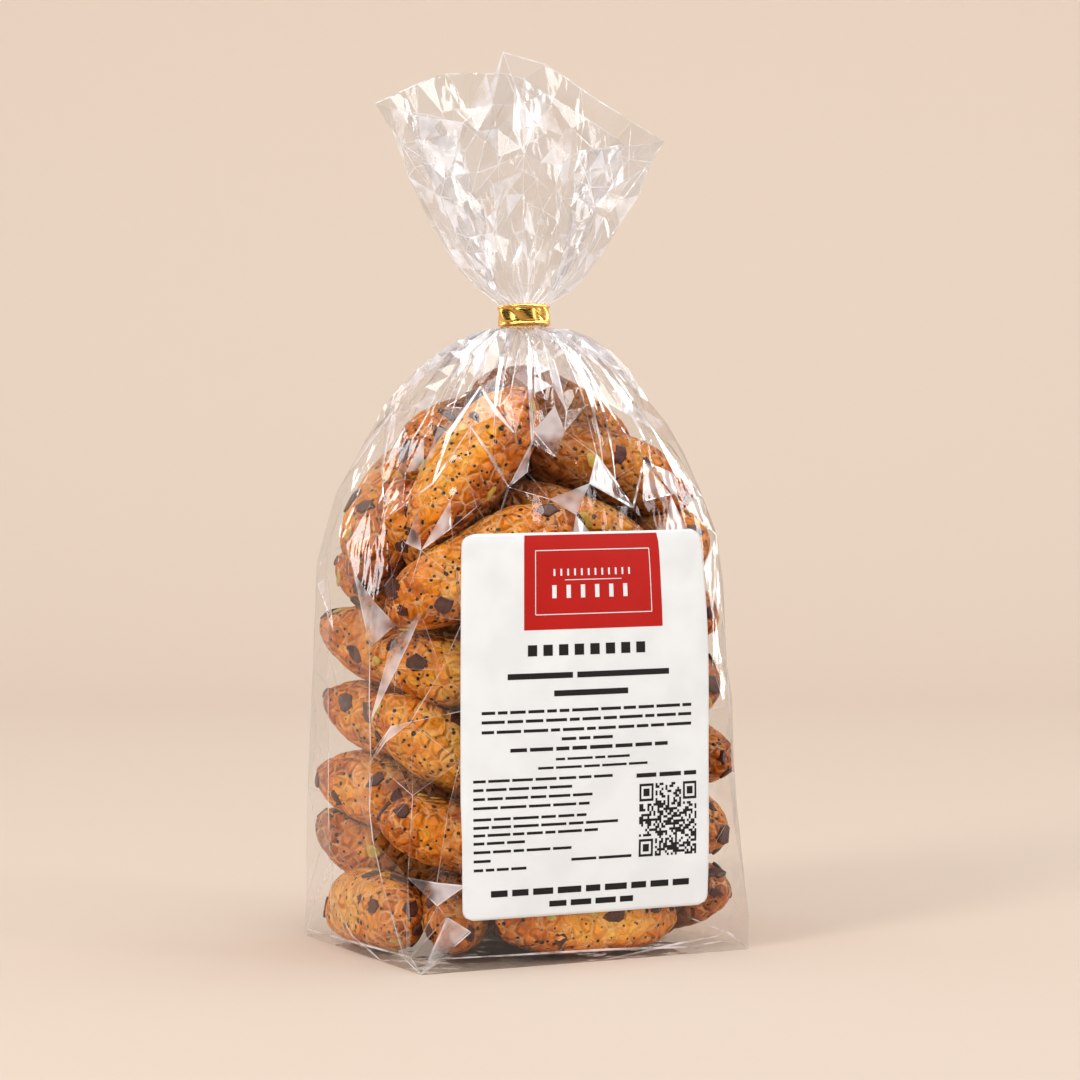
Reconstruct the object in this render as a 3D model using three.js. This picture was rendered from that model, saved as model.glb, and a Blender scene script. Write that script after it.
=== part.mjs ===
// A clear block-bottom film bag filled with biscotti: a creased bag with a gathered neck and a flared
// ruffle, a gold band round the neck and a paper label on the front face.
// Units are millimetres. The origin is the centre of the base, +Z is up and the label faces -Y.
import * as THREE from "three";

// Bag body
const BAG_WIDTH = 120; // along X, the labelled face
const BAG_DEPTH = 95; // along Y, the gusseted sides
const COLUMN_STEP = 5; // film length between two columns of vertices
const SIDE_BULGE = 3; // how far the filled faces stand out at mid height
const BULGE_POWER = 0.6; // under 1 brings the bulge on quickly above the base

// Rounding of the corners along X and Y where the bag is fullest
const CORNER_REACH = {
  frontLeft: [18, 34], // drawn in flatter, beside the label's left edge
  frontRight: [30, 30],
  backRight: [22, 22],
  backLeft: [18, 20],
};
const CORNER_START_Z = 2; // the corners are sharp up to here
const CORNER_FULL_Z = 135; // and fully rounded from here
const FRONT_LEFT_FULL_Z = 55;
const CORNER_POWER = 0.8;

// Shoulder: the sides close over the contents to the tie
const SHOULDER_Z = 138;
const DOME_TOP_Z = 206.6;
const DOME_POWER = 0.43; // 0.5 would be a parabola
const DOME_RADIUS = 69; // half of the bag's span at the shoulder, once it is round
const DOME_RINGS = 11;
const SIDE_LEVELS = [0, 5, 14, 26, 40, 55, 72, 90, 106, 122, SHOULDER_Z];

// Neck and band
const NECK_RADIUS = 6.8;
const NECK_PLEAT = 0.4;
const BAND_BOTTOM_Z = 207.4;
const BAND_HEIGHT = 7.2;
const BAND_INNER_RADIUS = 7.9;
const BAND_WALL = 0.4;
const BAND_CROWN = 0.35; // how far the barrel swells at mid height
const BAND_LIP = 0.5; // the rolled edges stand this far out of the wall
const BAND_LIP_HEIGHT = 1.2;
const LIP_ROUNDING = 0.25; // share of the lip's height taken by the slope at each side
const CROWN_SHOULDER = 0.8; // share of the crown reached halfway between lip and middle
const BAND_TILT = -4; // degrees: the band sits a little higher at the front
const BAND_SIDES = 48;
const NECK_TOP_Z = 215.7;
const FILM_GAP = 0.3; // between the gathered film below and above the band's middle

// Ruffle: a flattened tube with its gussets folded in, flared from the neck
const FLARE_POWER = 0.56; // under 1 opens the ruffle quickly above the neck
const RUFFLE_WALL = 1;
const WALL_STRETCH = 4; // most that a fold's slope may widen the wall towards the axis
const NARROWEST_INSIDE = 0.5; // least share of a ring's size that its inside keeps
const RUFFLE_SHARES = [0.004, 0.02, 0.05, 0.1, 0.17, 0.26, 0.36, 0.47, 0.6, 0.74, 0.87, 1];
const RUFFLE_FLOOR = 0.4; // share of the height below which the gathered film is solid
const FLOOR_DROP = 4; // the hollow's floor dips this far at its middle

// Relief of the film
const PLEAT_DEPTH = 1.5; // half of a fold, from its ridge to its valley
const PLEAT_RISE = 6; // the ruffle's pleats are full from one sixth of its height
const PLEAT_FADE = 0.6; // share of their depth lost towards the rim
const CREASE_DEPTH = 1.6;
const PLEAT_SHARE = 0.1; // neither goes beyond these shares of the distance to the axis
const CREASE_SHARE = 0.05;
const CREASE_START_Z = 144;
const CREASE_FULL_Z = 172;
const CREASE_SEED = 20261;

// Label
const LABEL_WIDTH = 88;
const LABEL_HEIGHT = 124;
const LABEL_CENTRE_X = -1.5;
const LABEL_BOTTOM_Z = 16.5;
const LABEL_CORNER = 3.5;
const LABEL_THICKNESS = 0.6;
const LABEL_GAP = 0.3;
const LABEL_STEP = 6; // grid spacing of the label's faces
const LABEL_WAVE = 0.9; // how far its loose right edge lifts
const LABEL_WAVE_START = 0.7; // as a share of its width
const LABEL_WAVES = 1.5;

const PERIMETER = 2 * (BAG_WIDTH + BAG_DEPTH);
const COLUMNS = PERIMETER / COLUMN_STEP;

// Perimeter positions of the other corners and the two gusset folds, from the front left corner
const FRONT_RIGHT = BAG_WIDTH;
const BACK_RIGHT = BAG_WIDTH + BAG_DEPTH;
const BACK_LEFT = 2 * BAG_WIDTH + BAG_DEPTH;
const RIGHT_FOLD = BAG_WIDTH + BAG_DEPTH / 2;
const LEFT_FOLD = PERIMETER - BAG_DEPTH / 2;

// The ruffle's rim, as [perimeter position, x, y, height above the neck]
const RIM = [
  [0, -51.5, -12, 61],
  [28, -28, -17, 58],
  [34, -23, -18, 64],
  [40, -18.5, -18, 82],
  [60, -1, -19, 78],
  [88, 22, -16, 65.5],
  [FRONT_RIGHT, 49.5, -9, 54.4],
  [RIGHT_FOLD, 21, 3, 51],
  [BACK_RIGHT, 47, 15, 55],
  [260, 8, 21, 78],
  [295, -22, 19, 77],
  [BACK_LEFT, -49, 14, 65.5],
  [LEFT_FOLD, -18, 1, 59],
  [PERIMETER, -51.5, -12, 61],
];

// Small seeded generator, so that the creases are the same each time
function seededRandom(seed) {
  let state = seed;
  return () => {
    state = (state * 1664525 + 1013904223) % 4294967296;
    return state / 4294967296;
  };
}

function smoothStep(low, high, value) {
  return THREE.MathUtils.smoothstep(value, low, high);
}

// Linear interpolation in a table whose first column rises
function tableAt(table, position) {
  const next = Math.max(1, table.findIndex((row) => row[0] >= position));
  const [before, after] = [table[next - 1], table[next]];
  const share = (position - before[0]) / (after[0] - before[0]);
  return before.map((value, i) => THREE.MathUtils.lerp(value, after[i], share));
}

// The point at a perimeter position on the sharp-cornered rectangle of the base
function baseOutline(position) {
  const [halfX, halfY] = [BAG_WIDTH / 2, BAG_DEPTH / 2];
  if (position < FRONT_RIGHT) return new THREE.Vector2(position - halfX, -halfY);
  if (position < BACK_RIGHT) return new THREE.Vector2(halfX, position - FRONT_RIGHT - halfY);
  if (position < BACK_LEFT) return new THREE.Vector2(halfX - (position - BACK_RIGHT), halfY);
  return new THREE.Vector2(-halfX, halfY - (position - BACK_LEFT));
}

// How far along X and Y the corner nearest to a point is rounded at a height
function cornerReach(point, z) {
  const side = point.x < 0 ? "Left" : "Right";
  const name = (point.y < 0 ? "front" : "back") + side;
  const fullZ = name === "frontLeft" ? FRONT_LEFT_FULL_Z : CORNER_FULL_Z;
  const share = THREE.MathUtils.clamp((z - CORNER_START_Z) / (fullZ - CORNER_START_Z), 0, 1);
  return new THREE.Vector2(...CORNER_REACH[name]).multiplyScalar(share ** CORNER_POWER);
}

// Moves a point of the rectangle onto the elliptic arc of its rounded corner
function roundCorner(point, z) {
  const reach = cornerReach(point, z);
  const centre = new THREE.Vector2(
    Math.sign(point.x) * (BAG_WIDTH / 2 - reach.x),
    Math.sign(point.y) * (BAG_DEPTH / 2 - reach.y),
  );
  const beyondX = Math.abs(point.x) > Math.abs(centre.x);
  const beyondY = Math.abs(point.y) > Math.abs(centre.y);
  if (reach.x <= 0 || !beyondX || !beyondY) return point.clone();
  return point.clone().sub(centre).divide(reach).normalize().multiply(reach).add(centre);
}

// How far the filled faces stand out, at a point of the outline
function bulgeAt(point, z) {
  const acrossX = 1 - (point.x / (BAG_WIDTH / 2)) ** 2;
  const acrossY = 1 - (point.y / (BAG_DEPTH / 2)) ** 2;
  const up = Math.sin(Math.PI * Math.min(1, z / SHOULDER_Z)) ** BULGE_POWER;
  return SIDE_BULGE * Math.max(acrossX, acrossY, 0) * up;
}

// The bag's section below the tie, as a point for a perimeter position and a height
function bodyPoint(position, z) {
  const sharp = baseOutline(position);
  const point = roundCorner(sharp, z);
  point.addScaledVector(point.clone().normalize(), bulgeAt(sharp, z));

  const closed = z <= SHOULDER_Z ? 1 : ((DOME_TOP_Z - z) / (DOME_TOP_Z - SHOULDER_Z)) ** DOME_POWER;
  const roundShare = 1 - closed;
  const round = ringPoint(position, DOME_RADIUS);
  return point.lerp(round, roundShare).multiplyScalar(closed);
}

// A point on a circle round the neck's axis, with the film spread evenly round it
function ringPoint(position, radius) {
  const start = Math.atan2(-BAG_DEPTH, -BAG_WIDTH);
  const angle = start + (2 * Math.PI * position) / PERIMETER;
  return new THREE.Vector2(Math.cos(angle), Math.sin(angle)).multiplyScalar(radius);
}

// A point of the ruffle, at a share of the way from the neck to the rim
function rufflePoint(position, share) {
  const [, rimX, rimY, rimHeight] = tableAt(RIM, position);
  const flare = share ** FLARE_POWER;
  const flat = ringPoint(position, NECK_RADIUS).lerp(new THREE.Vector2(rimX, rimY), flare);
  return new THREE.Vector3(flat.x, flat.y, NECK_TOP_Z + share * rimHeight);
}

// Draws every other column of a ring in as a pleat, and moves each point in or out by seeded creases
function crumple(ring, pleat, crease, random) {
  return ring.map((point, column) => {
    const fold = column % 2 ? -2 * pleat : 0;
    const offset = fold + crease * (2 * random() - 1);
    const reach = Math.hypot(point.x, point.y);
    const scale = 1 + offset / reach;
    return new THREE.Vector3(point.x * scale, point.y * scale, point.z);
  });
}

function columnPositions() {
  return Array.from({ length: COLUMNS }, (_, column) => column * COLUMN_STEP);
}

function bodyRing(z) {
  return columnPositions().map((position) => {
    const { x, y } = bodyPoint(position, z);
    return new THREE.Vector3(x, y, z);
  });
}

function ruffleRing(share) {
  return columnPositions().map((position) => rufflePoint(position, share));
}

// The inside of the ruffle's wall: each point of a ring drawn in by the wall, square to the ring
function insideRing(ring) {
  return ring.map((point, i) => {
    const before = ring[(i + ring.length - 1) % ring.length];
    const after = ring[(i + 1) % ring.length];
    const reach = Math.hypot(point.x, point.y);
    const slope = Math.hypot(after.x, after.y) - Math.hypot(before.x, before.y);
    const turn = Math.abs(Math.atan2(
      before.x * after.y - before.y * after.x,
      before.x * after.x + before.y * after.y,
    ));
    const steepness = Math.min(WALL_STRETCH, Math.hypot(1, slope / (reach * turn)));
    const scale = Math.max(NARROWEST_INSIDE, 1 - (RUFFLE_WALL * steepness) / reach);
    return new THREE.Vector3(point.x * scale, point.y * scale, point.z);
  });
}

// One closed surface through a stack of rings, with a fan on the first ring and on the last
function stackGeometry(rings, firstCentre, lastCentre) {
  const count = rings[0].length;
  const points = [firstCentre, ...rings.flat(), lastCentre];
  const last = points.length - 1;
  const index = [];
  const at = (ring, column) => 1 + ring * count + (column % count);
  for (let column = 0; column < count; column += 1) {
    index.push(0, at(0, column + 1), at(0, column));
    index.push(last, at(rings.length - 1, column), at(rings.length - 1, column + 1));
    for (let ring = 0; ring + 1 < rings.length; ring += 1) {
      const [a, b] = [at(ring, column), at(ring, column + 1)];
      const [c, d] = [at(ring + 1, column + 1), at(ring + 1, column)];
      const risingIsShorter = points[a].distanceTo(points[c]) < points[b].distanceTo(points[d]);
      if (risingIsShorter) index.push(a, b, c, a, c, d);
      else index.push(a, b, d, b, c, d);
    }
  }
  const geometry = new THREE.BufferGeometry().setFromPoints(points);
  geometry.setIndex(index);
  return geometry;
}

// Levels of the bag's rings, from the base to the tie
function bodyLevels() {
  const dome = Array.from({ length: DOME_RINGS }, (_, i) => {
    const closed = 1 - ((i + 1) / DOME_RINGS) * (1 - NECK_RADIUS / DOME_RADIUS);
    return DOME_TOP_Z - (DOME_TOP_Z - SHOULDER_Z) * closed ** (1 / DOME_POWER);
  });
  return [...SIDE_LEVELS, ...dome];
}

// Creases stay off the base and off the face that carries the label
function bodyRings(random) {
  return bodyLevels().map((z) => {
    const ring = bodyRing(z);
    const reach = Math.hypot(ring[0].x, ring[0].y);
    const high = smoothStep(SHOULDER_Z, CREASE_FULL_Z, z);
    const pleat = Math.min(PLEAT_SHARE * reach, PLEAT_DEPTH) * high;
    const deepest = Math.min(CREASE_SHARE * reach, CREASE_DEPTH);
    return crumple(ring, pleat, deepest * smoothStep(CREASE_START_Z, CREASE_FULL_Z, z), random);
  });
}

// A ring of the film gathered inside the band
function neckRing(z, random) {
  const ring = ruffleRing(0).map((point) => new THREE.Vector3(point.x, point.y, z));
  return crumple(ring, NECK_PLEAT, 0, random);
}

function bag() {
  const random = seededRandom(CREASE_SEED);
  const top = BAND_BOTTOM_Z + (BAND_HEIGHT - FILM_GAP) / 2;
  const rings = [...bodyRings(random), neckRing(DOME_TOP_Z, random), neckRing(top, random)];
  return stackGeometry(rings, new THREE.Vector3(0, 0, 0), new THREE.Vector3(0, 0, top));
}

// The ruffle's outside from the neck up to the rim, then its inside down to the hollow's floor
function ruffle() {
  const random = seededRandom(CREASE_SEED + 1);
  const outside = RUFFLE_SHARES.map((share) => {
    const opening = Math.min(1, share * PLEAT_RISE);
    const pleat = PLEAT_DEPTH * opening * (1 - PLEAT_FADE * share);
    return crumple(ruffleRing(share), pleat, CREASE_DEPTH * opening, random);
  });
  const hollow = outside.filter((_, i) => RUFFLE_SHARES[i] > RUFFLE_FLOOR).reverse();
  const inside = hollow.map(insideRing);
  const floorZ = NECK_TOP_Z + RUFFLE_FLOOR * RIM[0][3] - FLOOR_DROP;
  const bottom = BAND_BOTTOM_Z + (BAND_HEIGHT + FILM_GAP) / 2;
  const neck = [neckRing(bottom, random), neckRing(NECK_TOP_Z - FILM_GAP, random)];
  const rings = [...neck, ...outside, ...inside];
  return stackGeometry(rings, new THREE.Vector3(0, 0, bottom), new THREE.Vector3(0, 0, floorZ));
}

// A rolled gold band: a barrel between two lips
function tieBand() {
  const wall = BAND_INNER_RADIUS + BAND_WALL;
  const lip = wall + BAND_LIP;
  const middle = BAND_HEIGHT / 2;
  const lowerHalf = [
    [BAND_INNER_RADIUS, 0],
    [wall, 0],
    [lip, BAND_LIP_HEIGHT * LIP_ROUNDING],
    [lip, BAND_LIP_HEIGHT * (1 - LIP_ROUNDING)],
    [wall, BAND_LIP_HEIGHT],
    [wall + BAND_CROWN * CROWN_SHOULDER, (BAND_LIP_HEIGHT + middle) / 2],
  ];
  const upperHalf = lowerHalf.map(([radius, height]) => [radius, BAND_HEIGHT - height]).reverse();
  const profile = [...lowerHalf, [wall + BAND_CROWN, middle], ...upperHalf, lowerHalf[0]];
  const points = profile.map(([radius, height]) => new THREE.Vector2(radius, height - middle));
  return new THREE.LatheGeometry(points, BAND_SIDES).rotateX(Math.PI / 2);
}

// Grid lines across one side of the label, with the corner's radius kept free at both ends
function labelLines(length) {
  const inner = length - 2 * LABEL_CORNER;
  const steps = Math.round(inner / LABEL_STEP);
  const between = Array.from({ length: steps + 1 }, (_, i) => LABEL_CORNER + (inner * i) / steps);
  return [0, ...between, length];
}

// A point of the label, at a distance out of the bag's front face and square to it
function labelPoint(u, v, out) {
  const inner = new THREE.Vector2(
    THREE.MathUtils.clamp(u, LABEL_CORNER, LABEL_WIDTH - LABEL_CORNER),
    THREE.MathUtils.clamp(v, LABEL_CORNER, LABEL_HEIGHT - LABEL_CORNER),
  );
  const flat = new THREE.Vector2(u, v).sub(inner);
  if (flat.x && flat.y) flat.setLength(LABEL_CORNER);
  flat.add(inner);
  const position = BAG_WIDTH / 2 + LABEL_CENTRE_X - LABEL_WIDTH / 2 + flat.x;
  const z = LABEL_BOTTOM_Z + flat.y;
  const rightEdge = smoothStep(LABEL_WAVE_START, 1, flat.x / LABEL_WIDTH);
  const phase = (2 * Math.PI * LABEL_WAVES * flat.y) / LABEL_HEIGHT;
  const wave = (LABEL_WAVE * rightEdge * (1 - Math.cos(phase))) / 2;
  const onFace = (along, height) => {
    const { x, y } = bodyPoint(along, height);
    return new THREE.Vector3(x, y, height);
  };
  const face = onFace(position, z);
  const along = onFace(position + 1, z).sub(face);
  const upward = onFace(position, z + 1).sub(face);
  return face.addScaledVector(along.cross(upward).normalize(), out + wave);
}

function label() {
  const across = labelLines(LABEL_WIDTH);
  const up = labelLines(LABEL_HEIGHT);
  const backs = up.map((v) => across.map((u) => labelPoint(u, v, LABEL_GAP)));
  const fronts = up.map((v) => across.map((u) => labelPoint(u, v, LABEL_GAP + LABEL_THICKNESS)));
  const points = [...backs.flat(), ...fronts.flat()];
  const [columns, rows] = [across.length, up.length];
  const at = (side, row, column) => side * rows * columns + row * columns + column;
  const index = [];
  const quad = (a, b, c, d) => index.push(a, b, c, a, c, d);
  for (let row = 0; row + 1 < rows; row += 1) {
    for (let column = 0; column + 1 < columns; column += 1) {
      const cell = (side) => [
        at(side, row, column),
        at(side, row, column + 1),
        at(side, row + 1, column + 1),
        at(side, row + 1, column),
      ];
      quad(...cell(1));
      quad(...cell(0).reverse());
    }
    quad(at(0, row, 0), at(1, row, 0), at(1, row + 1, 0), at(0, row + 1, 0));
    const end = columns - 1;
    quad(at(1, row, end), at(0, row, end), at(0, row + 1, end), at(1, row + 1, end));
  }
  for (let column = 0; column + 1 < columns; column += 1) {
    const end = rows - 1;
    quad(at(0, 0, column), at(0, 0, column + 1), at(1, 0, column + 1), at(1, 0, column));
    quad(at(1, end, column), at(1, end, column + 1), at(0, end, column + 1), at(0, end, column));
  }
  const geometry = new THREE.BufferGeometry().setFromPoints(points);
  geometry.setIndex(index);
  return geometry;
}

function piece(name, geometry, color, roughness, metalness) {
  const material = new THREE.MeshStandardMaterial({ color, roughness, metalness, flatShading: true });
  const mesh = new THREE.Mesh(geometry, material);
  mesh.name = name;
  return mesh;
}

const biscottiBag = new THREE.Group();
biscottiBag.add(piece("bag", bag(), 0xd9964a, 0.25, 0));
biscottiBag.add(piece("ruffle", ruffle(), 0xe9e4df, 0.2, 0));
const band = piece("tie_band", tieBand(), 0xd6a021, 0.2, 1);
band.position.z = BAND_BOTTOM_Z + BAND_HEIGHT / 2;
band.rotation.x = THREE.MathUtils.degToRad(BAND_TILT);
biscottiBag.add(band);
biscottiBag.add(piece("label", label(), 0xf4f1ec, 0.6, 0));

export default biscottiBag;
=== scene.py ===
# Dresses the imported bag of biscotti: film, biscotti, gold band and label, on a pale studio sweep.
# Lengths are millimetres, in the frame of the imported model, until build_mesh turns them into metres.
import math

import bpy
import numpy as np
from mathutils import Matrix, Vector
from mathutils.geometry import delaunay_2d_cdt


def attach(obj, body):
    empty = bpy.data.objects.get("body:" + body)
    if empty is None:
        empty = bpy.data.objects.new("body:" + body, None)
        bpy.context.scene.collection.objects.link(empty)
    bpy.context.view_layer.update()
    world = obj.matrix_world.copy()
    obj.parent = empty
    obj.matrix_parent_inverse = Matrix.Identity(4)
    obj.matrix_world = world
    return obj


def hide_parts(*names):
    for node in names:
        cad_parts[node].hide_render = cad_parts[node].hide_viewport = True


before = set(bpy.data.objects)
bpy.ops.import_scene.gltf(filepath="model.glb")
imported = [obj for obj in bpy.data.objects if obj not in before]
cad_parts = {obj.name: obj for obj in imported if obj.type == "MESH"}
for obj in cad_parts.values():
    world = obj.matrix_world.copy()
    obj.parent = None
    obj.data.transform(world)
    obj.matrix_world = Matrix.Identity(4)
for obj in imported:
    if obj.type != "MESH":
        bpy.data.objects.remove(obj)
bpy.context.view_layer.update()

MM = 0.001

# Camera, fitted to the photograph's 1080 pixel frame
IMAGE_SIZE = 1080
FOCAL_PIXELS = 3747
SENSOR_WIDTH = 36
HORIZON_Y = 367
NECK_AXIS_X = 524
CAMERA_AZIMUTH = math.radians(-26.3)
CAMERA_DISTANCE = 1258
CAMERA_HEIGHT = 194
VIEW_RIGHT = np.array([math.cos(CAMERA_AZIMUTH), math.sin(CAMERA_AZIMUTH), 0])
VIEW_FORWARD = np.array([-math.sin(CAMERA_AZIMUTH), math.cos(CAMERA_AZIMUTH), 0])
UP = np.array([0, 0, 1])

# Bag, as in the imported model
BAG_WIDTH = 120
BAG_DEPTH = 95
PERIMETER = 2 * (BAG_WIDTH + BAG_DEPTH)
SIDE_BULGE = 3
BULGE_POWER = 0.6
CORNER_REACH = {(-1, -1): (18, 34), (1, -1): (30, 30), (1, 1): (22, 22), (-1, 1): (18, 20)}
CORNER_START_Z = 2
CORNER_FULL_Z = 135
FRONT_LEFT_FULL_Z = 55
CORNER_POWER = 0.8
SHOULDER_Z = 138
DOME_TOP_Z = 206.6
DOME_POWER = 0.43
DOME_RADIUS = 69
PROFILE_STEPS = 60

# Neck and ruffle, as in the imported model
NECK_RADIUS = 6.8
NECK_TOP_Z = 215.7
BAND_MIDDLE_Z = 211
FLARE_POWER = 0.56

# Corners and side folds, as millimetres round the base from its front left corner
FRONT_RIGHT = BAG_WIDTH
BACK_RIGHT = BAG_WIDTH + BAG_DEPTH
BACK_LEFT = 2 * BAG_WIDTH + BAG_DEPTH
RIGHT_FOLD = BAG_WIDTH + BAG_DEPTH / 2
LEFT_FOLD = PERIMETER - BAG_DEPTH / 2

# The ruffle's rim, as (millimetres round the base, x, y, height above the neck)
RIM = np.array([
    (0, -51.5, -12, 61),
    (28, -28, -17, 58),
    (34, -23, -18, 64),
    (40, -18.5, -18, 82),
    (60, -1, -19, 78),
    (88, 22, -16, 65.5),
    (FRONT_RIGHT, 49.5, -9, 54.4),
    (RIGHT_FOLD, 21, 3, 51),
    (BACK_RIGHT, 47, 15, 55),
    (260, 8, 21, 78),
    (295, -22, 19, 77),
    (BACK_LEFT, -49, 14, 65.5),
    (LEFT_FOLD, -18, 1, 59),
    (PERIMETER, -51.5, -12, 61),
])

# Film facets: the film is cut open at the seam and laid flat
SEAM = -130
SEAM_MARGIN = 90
BODY_SPACING = 15
BASE_SPACING = 11
BASE_ZONE = 30
SHOULDER_ZONE = 20
SHOULDER_SPACING = 10
NECK_SPACING = 8
RUFFLE_SPACING = (6, 7, 9)
SCATTER_TRIES = 9000
RIM_WIDTH = 0.35
RIM_STEP = 8.6
RUFFLE_TALL = 80
NECK_LENGTH = 10
DENT_IN = 0.4
DENT_OUT = 1.3
BASE_FADE = 6
RUFFLE_DENT = 3
PLEATS = 56
PLEAT_STEP = 8
PLEAT_REACH = (22, 62)
PLEAT_DRIFT = 0.05
PLEAT_DEPTH = 2.4
PLEAT_LIMIT = 0.16
CREASE_PROUD = 1.2
CREASE_WIDTH = 0.28
CREASE_FULL_ANGLE = math.radians(18)

# Materials of the facets, in the order of FILM_LOOKS, and where the painted highlights lie
CLEAR, FOLDED, PAINTED_HIGHLIGHT, GATHERED = range(4)
HIGHLIGHT_SHARE = 0.11
STREAK_WIDTH = 4.5
STREAK_REACH = (16, 52)
STREAK_SHARE = 0.22
GATHERED_LENGTH = 34
GATHERED_RANGE = (0.6, 1.2)

# Long folds of the film, as (millimetres round the base, height) from the front left corner
FILM_CREASES = [
    [(-92, 2.5), (-48, 4), (-6, 5)],
    [(4, 5), (34, 4.5), (66, 4), (96, 2.5), (114, 4)],
    [(-69, 124), (-67, 110), (-66, 90), (-65, 70), (-66, 49), (-66, 29), (-72, 0)],
    [(-55, 135), (-47, 126), (-33, 103), (-33, 86), (-32, 68), (-33, 50), (-31, 40), (-24, 25),
     (-11, 4), (0, 0)],
    [(-95, 0), (-80, 16), (-63, 29)],
    [(-66, 16), (-50, 6), (-31, 0)],
    [(120, 0), (112, 6), (97, 12)],
    [(64, 0), (92, 4), (112, 6)],
    [(-84, 151), (-69, 170), (-62, 185)],
    [(-30, 144), (-45, 160), (-69, 185)],
    [(-30, 144), (-2, 156), (10, 174)],
    [(29, 155), (38, 169), (36, 187), (37, 203)],
    [(25, 141), (29, 155), (10, 174)],
    [(67, 165), (62, 156), (78, 148), (88, 163), (99, 151)],
    [(70, 201), (78, 183), (88, 163)],
    [(90, 200), (94, 186), (100, 173), (122, 150)],
    [(-91, 12), (-88, 52), (-90, 92), (-87, 128)],
    [(121, 10), (119, 48), (122, 96), (120, 138)],
]

# Facets painted milky white as highlights, as outlines in the same two numbers
HIGHLIGHT_FACETS = [
    [(-47, 126), (-32, 118), (-18, 111), (-33, 103)],
    [(-78, 121), (-69, 124), (-62, 106)],
    [(0, 115), (-20, 105), (-24, 96), (-32, 79), (-17, 97), (-8, 107)],
    [(-8, 80), (-23, 73), (-33, 65), (-20, 78)],
    [(-9, 30), (6, 29), (15, 28), (6, 22)],
    [(9, 18), (17, 13), (0, 0)],
    [(9, 187), (1, 172), (-2, 156), (-2, 172)],
    [(10, 174), (22, 164), (29, 155)],
    [(10, 186), (20, 178), (30, 172)],
    [(67, 165), (62, 156), (78, 148)],
    [(88, 163), (96, 152), (83, 150)],
    [(-62, 178), (-73, 170), (-77, 158)],
    [(-45, 160), (-60, 178), (-54, 176)],
]

# Strips along the folds, whitened partly as stress whitening and partly as painted highlight, and painted
# highlight streaks that fan out below the tie
FOLD_WIDTH = 0.75
FACET_FOLD_WIDTH = 0.45
FOLD_STEPS = 10
STREAK_LINES = 30
STREAK_POINTS = 5
STREAK_TOP_Z = 204
STREAK_LOW_Z = (148, 188)
STREAK_DRIFT = 7
STREAK_SIZE = (0.5, 1.7)

# Biscotti: slices of a loaf with a domed top, a flat bottom and two cut faces
BISCUIT_LENGTH = 71
BISCUIT_THICKNESS = 24.5
BISCUIT_DOME = 15.5
BISCUIT_BOTTOM = 11.5
LENGTH_RANGE = (0.9, 1.06)
THICKNESS_RANGE = (0.92, 1.1)
DOME_RANGE = (0.88, 1.08)
BEND = 1.5
SECTION_POWER = 2.35
TIP_FADES = (2.7, 2.2, 3)
TIP_ROUNDING = 0.6
RINGS = 86
AROUND = 96
COBBLE_SIZE = 6
COBBLE_HEIGHT = 0.35
PILLOW_SHARE = 0.75
GROOVE_DEPTH = 0.12
GROOVE_WIDTH = 0.12
LUMP_SIZE = 14
LUMP_HEIGHT = 1.0
PALE_START = 0.45
BISCUITS_PER_PIECE = 9

# Chocolate chunks and nut kernels set into the crust
CHUNKS_PER_BISCUIT = 13
CHUNK_RADIUS = (2.2, 4.9)
CHUNK_DEPTH = 3
CHUNK_RISE = (0.3, 0.7)
CHUNK_REACH = (0.62, 1.15)
KERNELS_PER_BISCUIT = 4
KERNEL_LENGTH = (4.5, 7.5)
KERNEL_WIDTH = (3.5, 5)
KERNEL_HEIGHT = (0.25, 0.55)
KERNEL_WAVE = 0.12
KERNEL_ROWS = 7
KERNEL_COLUMNS = 14
INCLUSION_SPACING = 7
PLACE_TRIES = 20

# Packing: each biscotto is a chain of balls, pushed apart and kept inside the bag
STATIONS = np.array([-0.82, -0.6, -0.3, 0, 0.3, 0.6, 0.82])
SETTLE_STEPS = 160
HOLD = 0.05
CROWDING = 0.5
TOP_ZONE = 8
TOP_REACH = 0.75
OUTLINE_STEP = 5
FILM_CLEARANCE = 0.2
FILM_REACH = 1.0
FLOOR_LIFT = 1.2
FLOOR_GAP = 0.4
WALL_ANGLES = 720
WALL_STEP = 2
# Depths behind the film over which painted shade grows on the crust
DEPTH_LIT = 8
DEPTH_DARK = 23

# Two stacks by their left tips, as (height, pitch) of each biscotto
LEFT_TIP = (-60, 40)
LEFT_HEADING = -42
LEFT_STACK = [(34, -8), (58, -20), (84, -24), (110, -25), (136, -20)]
FRONT_TIP = (-59, -11)
FRONT_HEADING = -23
FRONT_STACK = [(48, -11), (85, -40), (100, -8), (122, 16)]

# Other biscotti, as (x, y, z, heading, pitch, roll): layers by turns with each lean, then single ones
LAYERS = 5
LAYER_PITCH = 23.5
LAYER_LEANS = (-5, 7)
LAYER_PLACES = np.array([(50, -8, 4, 99, 1, -90), (16, 34, 2, 178, 1, 90), (15, -6, 0, 76, -1, 60)], float)
FLOOR_Z = 13
SWAY = np.array([5, 4, 25])
FLOOR_PIECES = [(-46, 11, 13, 92, 0, 90), (-33, -11, 25, 60, 28, 90), (4, -36, 12, 0, -2, 90)]
TOP_PIECES = [
    (-40, -12, 132, -42, -12, 90),
    (46, -2, 133, 98, -4, -90),
    (2, 33, 131, 180, 8, 90),
    (-42, 20, 146, 20, 30, 80),
    (1, -27, 140, -4, -24, 80),
    (-31, -22, 151, -20, 58, 80),
    (31, -16, 157, -4, -20, 70),
    (-22, 14, 166, 25, 14, 60),
    (10, 13, 168, -8, -4, 40),
    (2, 12, 148, 10, 0, 40),
]

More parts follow.
